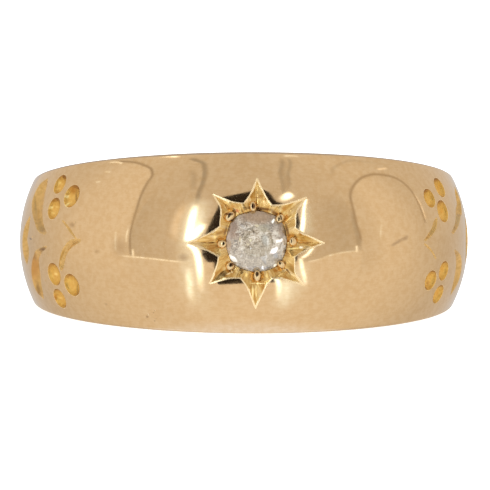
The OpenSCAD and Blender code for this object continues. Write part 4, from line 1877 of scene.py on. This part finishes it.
# The two lamps, each in the pieces that the dome's mirror breaks it into.
LAMPS = (
    ("lamp_left_glow", ((-31, 43), (-30, 26), (-30, 12), (-31, 0)),
     15.0, 1.43, 1.5, (0.35, 0.3, 0.5, 0.5), (30, 8)),
    ("lamp_left_fill", ((-28, 27), (-29, 18), (-31, 8)),
     8.0, 1.425, 2.2, (0.5, 0.2, 0.5, 0.5), (20, 8)),
    ("lamp_left", ((-32.6, 37), (-31.8, 28), (-31.8, 17), (-32.6, 6)),
     5.0, 1.42, 6.0, (0.45, 0.15, 0.5, 0.5), (30, 6)),
    ("lamp_left_lobe", ((-24.4, 23), (-26.5, 17), (-29.4, 11), (-32, 7)),
     5.8, 1.415, 5.0, (0.35, 0.2, 0.5, 0.5), (20, 6)),
    ("lamp_left_low", ((-32, 5), (-29.5, 3), (-27, -2), (-26, -10), (-26, -20), (-27, -36)),
     4.8, 1.42, 5.0, (0.1, 0.45, 0.5, 0.5), (40, 4)),
    ("lamp_left_far", ((-31, -12), (-32, -26), (-34.2, -46)),
     5.4, 1.41, 1.9, (0.35, 0.5, 0.5, 0.5), (30, 4)),
    ("lamp_right_top", ((18, 39.5), (22.5, 42), (26, 43.8), (30, 45)),
     6.4, 1.42, 5.5, (0.65, 0.35, 0.5, 0.5), (20, 6)),
    ("lamp_right", ((36.5, 40), (33.8, 36), (30.5, 28), (27.2, 15)),
     1.9, 1.42, 4.5, (0.2, 0.15, 0.5, 0.5), (30, 4)),
    ("lamp_right_foot", ((31.5, 31), (28.8, 22), (26.7, 13.5)),
     3.3, 1.418, 4.5, (0.6, 0.15, 0.5, 0.5), (20, 4)),
    ("lamp_right_hook", ((32.3, 3), (29.3, -2.5), (26, -5.5)),
     2.2, 1.41, 3.6, (0.2, 0.2, 0.5, 0.5), (16, 4)),
    ("lamp_right_low", ((25.4, -5), (27, -14), (29.2, -22), (31.2, -30)),
     3.2, 1.42, 2.8, (0.1, 0.55, 0.5, 0.5), (30, 4)),
    ("lamp_right_far", ((13.3, -20), (15.6, -28), (16.6, -42)),
     4.0, 1.42, 3.2, (0.1, 0.7, 0.5, 0.5), (20, 4)),
    ("lamp_right_near", ((18.6, -22), (20, -32), (21.5, -52)),
     8.0, 1.425, 1.6, (0.3, 0.6, 0.5, 0.5), (20, 4)),
)


@dataclass
class Studio:
    """A pale floor, an even white room and the light tent that the gold mirrors."""

    floor_size: float = 4.0
    floor_colour: str = "F8F8F8"
    floor_glow: float = 0.7
    room: float = 1.5
    camera_azimuth_deg: float = -3.3
    camera_elevation_deg: float = 7.8
    camera_roll_deg: float = 0.45
    distance: float = 0.300
    width: float = 0.02258
    sensor_mm: float = 36.0
    # Where the camera aims, right of and above the middle of the finger hole.
    aim_mm: Pair = (0.097, -0.194)

    @staticmethod
    def panels() -> list[Card]:
        """The tent's wide panels, from the farthest to the nearest."""
        below, whole = ((0, -90),), (-180, 180)

        def all_round(tones: Path) -> Path:
            return tuple(((azimuth + 180) / 360, tone) for azimuth, tone in tones)

        return [
            Card("tent", patch(*whole, below, ((0, 90),)), 1.60, cells=(72, 36),
                 tones=all_round(UPPER_TONES)),
            Card("low", patch(*whole, below, ((0, 8),)), 1.58, 1.0, (0, 0, 0, 0.16), (90, 16),
                 tones=all_round(LOWER_TONES)),
            Card("left_side", patch(-120, -64, ((0, -24),), LEFT_TOP), 1.56, 1.0,
                 (0.35, 0, 0.3, 0), (48, 24),
                 tones=((0.0, 0.70), (0.35, 0.76), (0.72, 0.79), (0.9, 0.80), (1.0, 0.76))),
            Card("right_side", patch(59, 111, ((0, -24),), RIGHT_TOP), 1.56, 1.0,
                 (0, 0.2, 0.3, 0), (48, 24),
                 tones=((0.0, 0.72), (0.12, 0.73), (0.32, 0.79), (0.55, 0.76), (0.85, 0.66),
                        (1.0, 0.62))),
            Card("front", patch(-63, 59, HORIZON, ((0, 44),)), 1.54, 1.0, (0, 0, 0, 0.35), (60, 24),
                 tones=((0.0, 0.60), (0.06, 0.63), (0.2, 0.67), (0.5, 0.66), (0.8, 0.64),
                        (0.92, 0.59), (1.0, 0.62))),
            Card("low_front", patch(-63, 59, below, HORIZON), 1.52, 1.0, (0.06, 0.06, 0, 0),
                 (60, 12),
                 tones=((0.0, 0.74), (0.2, 0.79), (0.5, 0.82), (0.85, 0.79), (1.0, 0.77))),
            Card("table", patch(*whole, below, ((0, -56.5),)), 1.51, 0.96, (0, 0, 0, 0.36), (90, 8),
                 TABLE_TINT),
            Card("lens", patch(-24.2, 27.5, LENS_LOW, LENS_HIGH), 1.44, 0.03, cells=(52, 12),
                 tint=LENS_TINT),
            Card("back_top", patch(112, 248, BACK_LOW, ((0, 88),)), 1.38, 0.50,
                 (0.15, 0.15, 0.12, 0.1), (68, 24), BACK_TINT),
        ]

    def cards(self) -> list[Card]:
        """All of the tent's cards, wide and narrow."""
        narrow = ((WARM_SEAMS, LINE_TINT), (SEAMS, Card.tint), (GLOWS, GLOW_TINT),
                  (LAMPS, LAMP_TINT))
        return self.panels() + [Card(name, strip(path, width), *rest, tint)
                                for rows, tint in narrow for name, path, width, *rest in rows]

    def build(self) -> None:
        """Sets up the floor, the room, the tent, the camera and the picture's settings."""
        floor = primitive(bpy.ops.mesh.primitive_plane_add, "floor", size=self.floor_size,
                          location=(0, 0, 0))
        paper = Shading.start("white_paper", self.floor_colour, 0.0)
        paper.give(Roughness=0.9, Specular_IOR_Level=0.0, Emission_Color=(1, 1, 1, 1),
                   Emission_Strength=self.floor_glow)
        floor.data.materials.append(paper.material)
        floor.visible_glossy = floor.visible_transmission = False
        world = bpy.data.worlds.new("room")
        world.use_nodes = True
        background = world.node_tree.nodes["Background"]
        fill(world.node_tree, background, {"Color": (1, 1, 1, 1), "Strength": self.room})
        scene = bpy.context.scene
        scene.world = world
        for card in self.cards():
            card.build()
        scene.view_settings.view_transform = "Standard"
        scene.view_settings.look = "None"
        scene.cycles.max_bounces = 16
        scene.cycles.glossy_bounces = 8
        scene.cycles.transmission_bounces = 12
        scene.cycles.use_denoising = True
        camera = self.camera(Shank())
        scene.collection.objects.link(camera)
        scene.camera = camera

    def camera(self, shank: Shank) -> Piece:
        """Stands the camera at the photograph's angle, low in front of the ring."""
        middle = shank.to_row @ Vector((0, 0, 0))
        back = direction(self.camera_azimuth_deg, self.camera_elevation_deg)
        right = Vector((0, 0, 1)).cross(back).normalized()
        aim = middle + (right * self.aim_mm[0] + back.cross(right) * self.aim_mm[1]) * MM
        camera = bpy.data.objects.new("camera", bpy.data.cameras.new("camera"))
        camera.location = middle + back * self.distance
        camera.rotation_mode = "QUATERNION"
        roll = Quaternion((0, 0, 1), math.radians(self.camera_roll_deg))
        camera.rotation_quaternion = (aim - camera.location).to_track_quat("-Z", "Y") @ roll
        camera.data.sensor_width = self.sensor_mm
        camera.data.lens = self.sensor_mm * self.distance / self.width
        camera.data.clip_start, camera.data.clip_end = 0.01, 10
        return camera


def main() -> None:
    """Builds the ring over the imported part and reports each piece."""
    logging.basicConfig(level=logging.INFO, format="%(name)s: %(message)s")
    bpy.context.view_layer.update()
    Studio().build()
    band = Band().build()
    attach(band, "root")
    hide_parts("band")
    stone = Diamond(Shank()).build()
    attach(stone, "root")
    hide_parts("diamond")
    for piece in (band, stone):
        triangles = sum(len(face.vertices) - 2 for face in piece.data.polygons)
        LOG.info("%s: %d triangles", piece.name, triangles)
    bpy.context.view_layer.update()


if __name__ == "__main__":
    main()
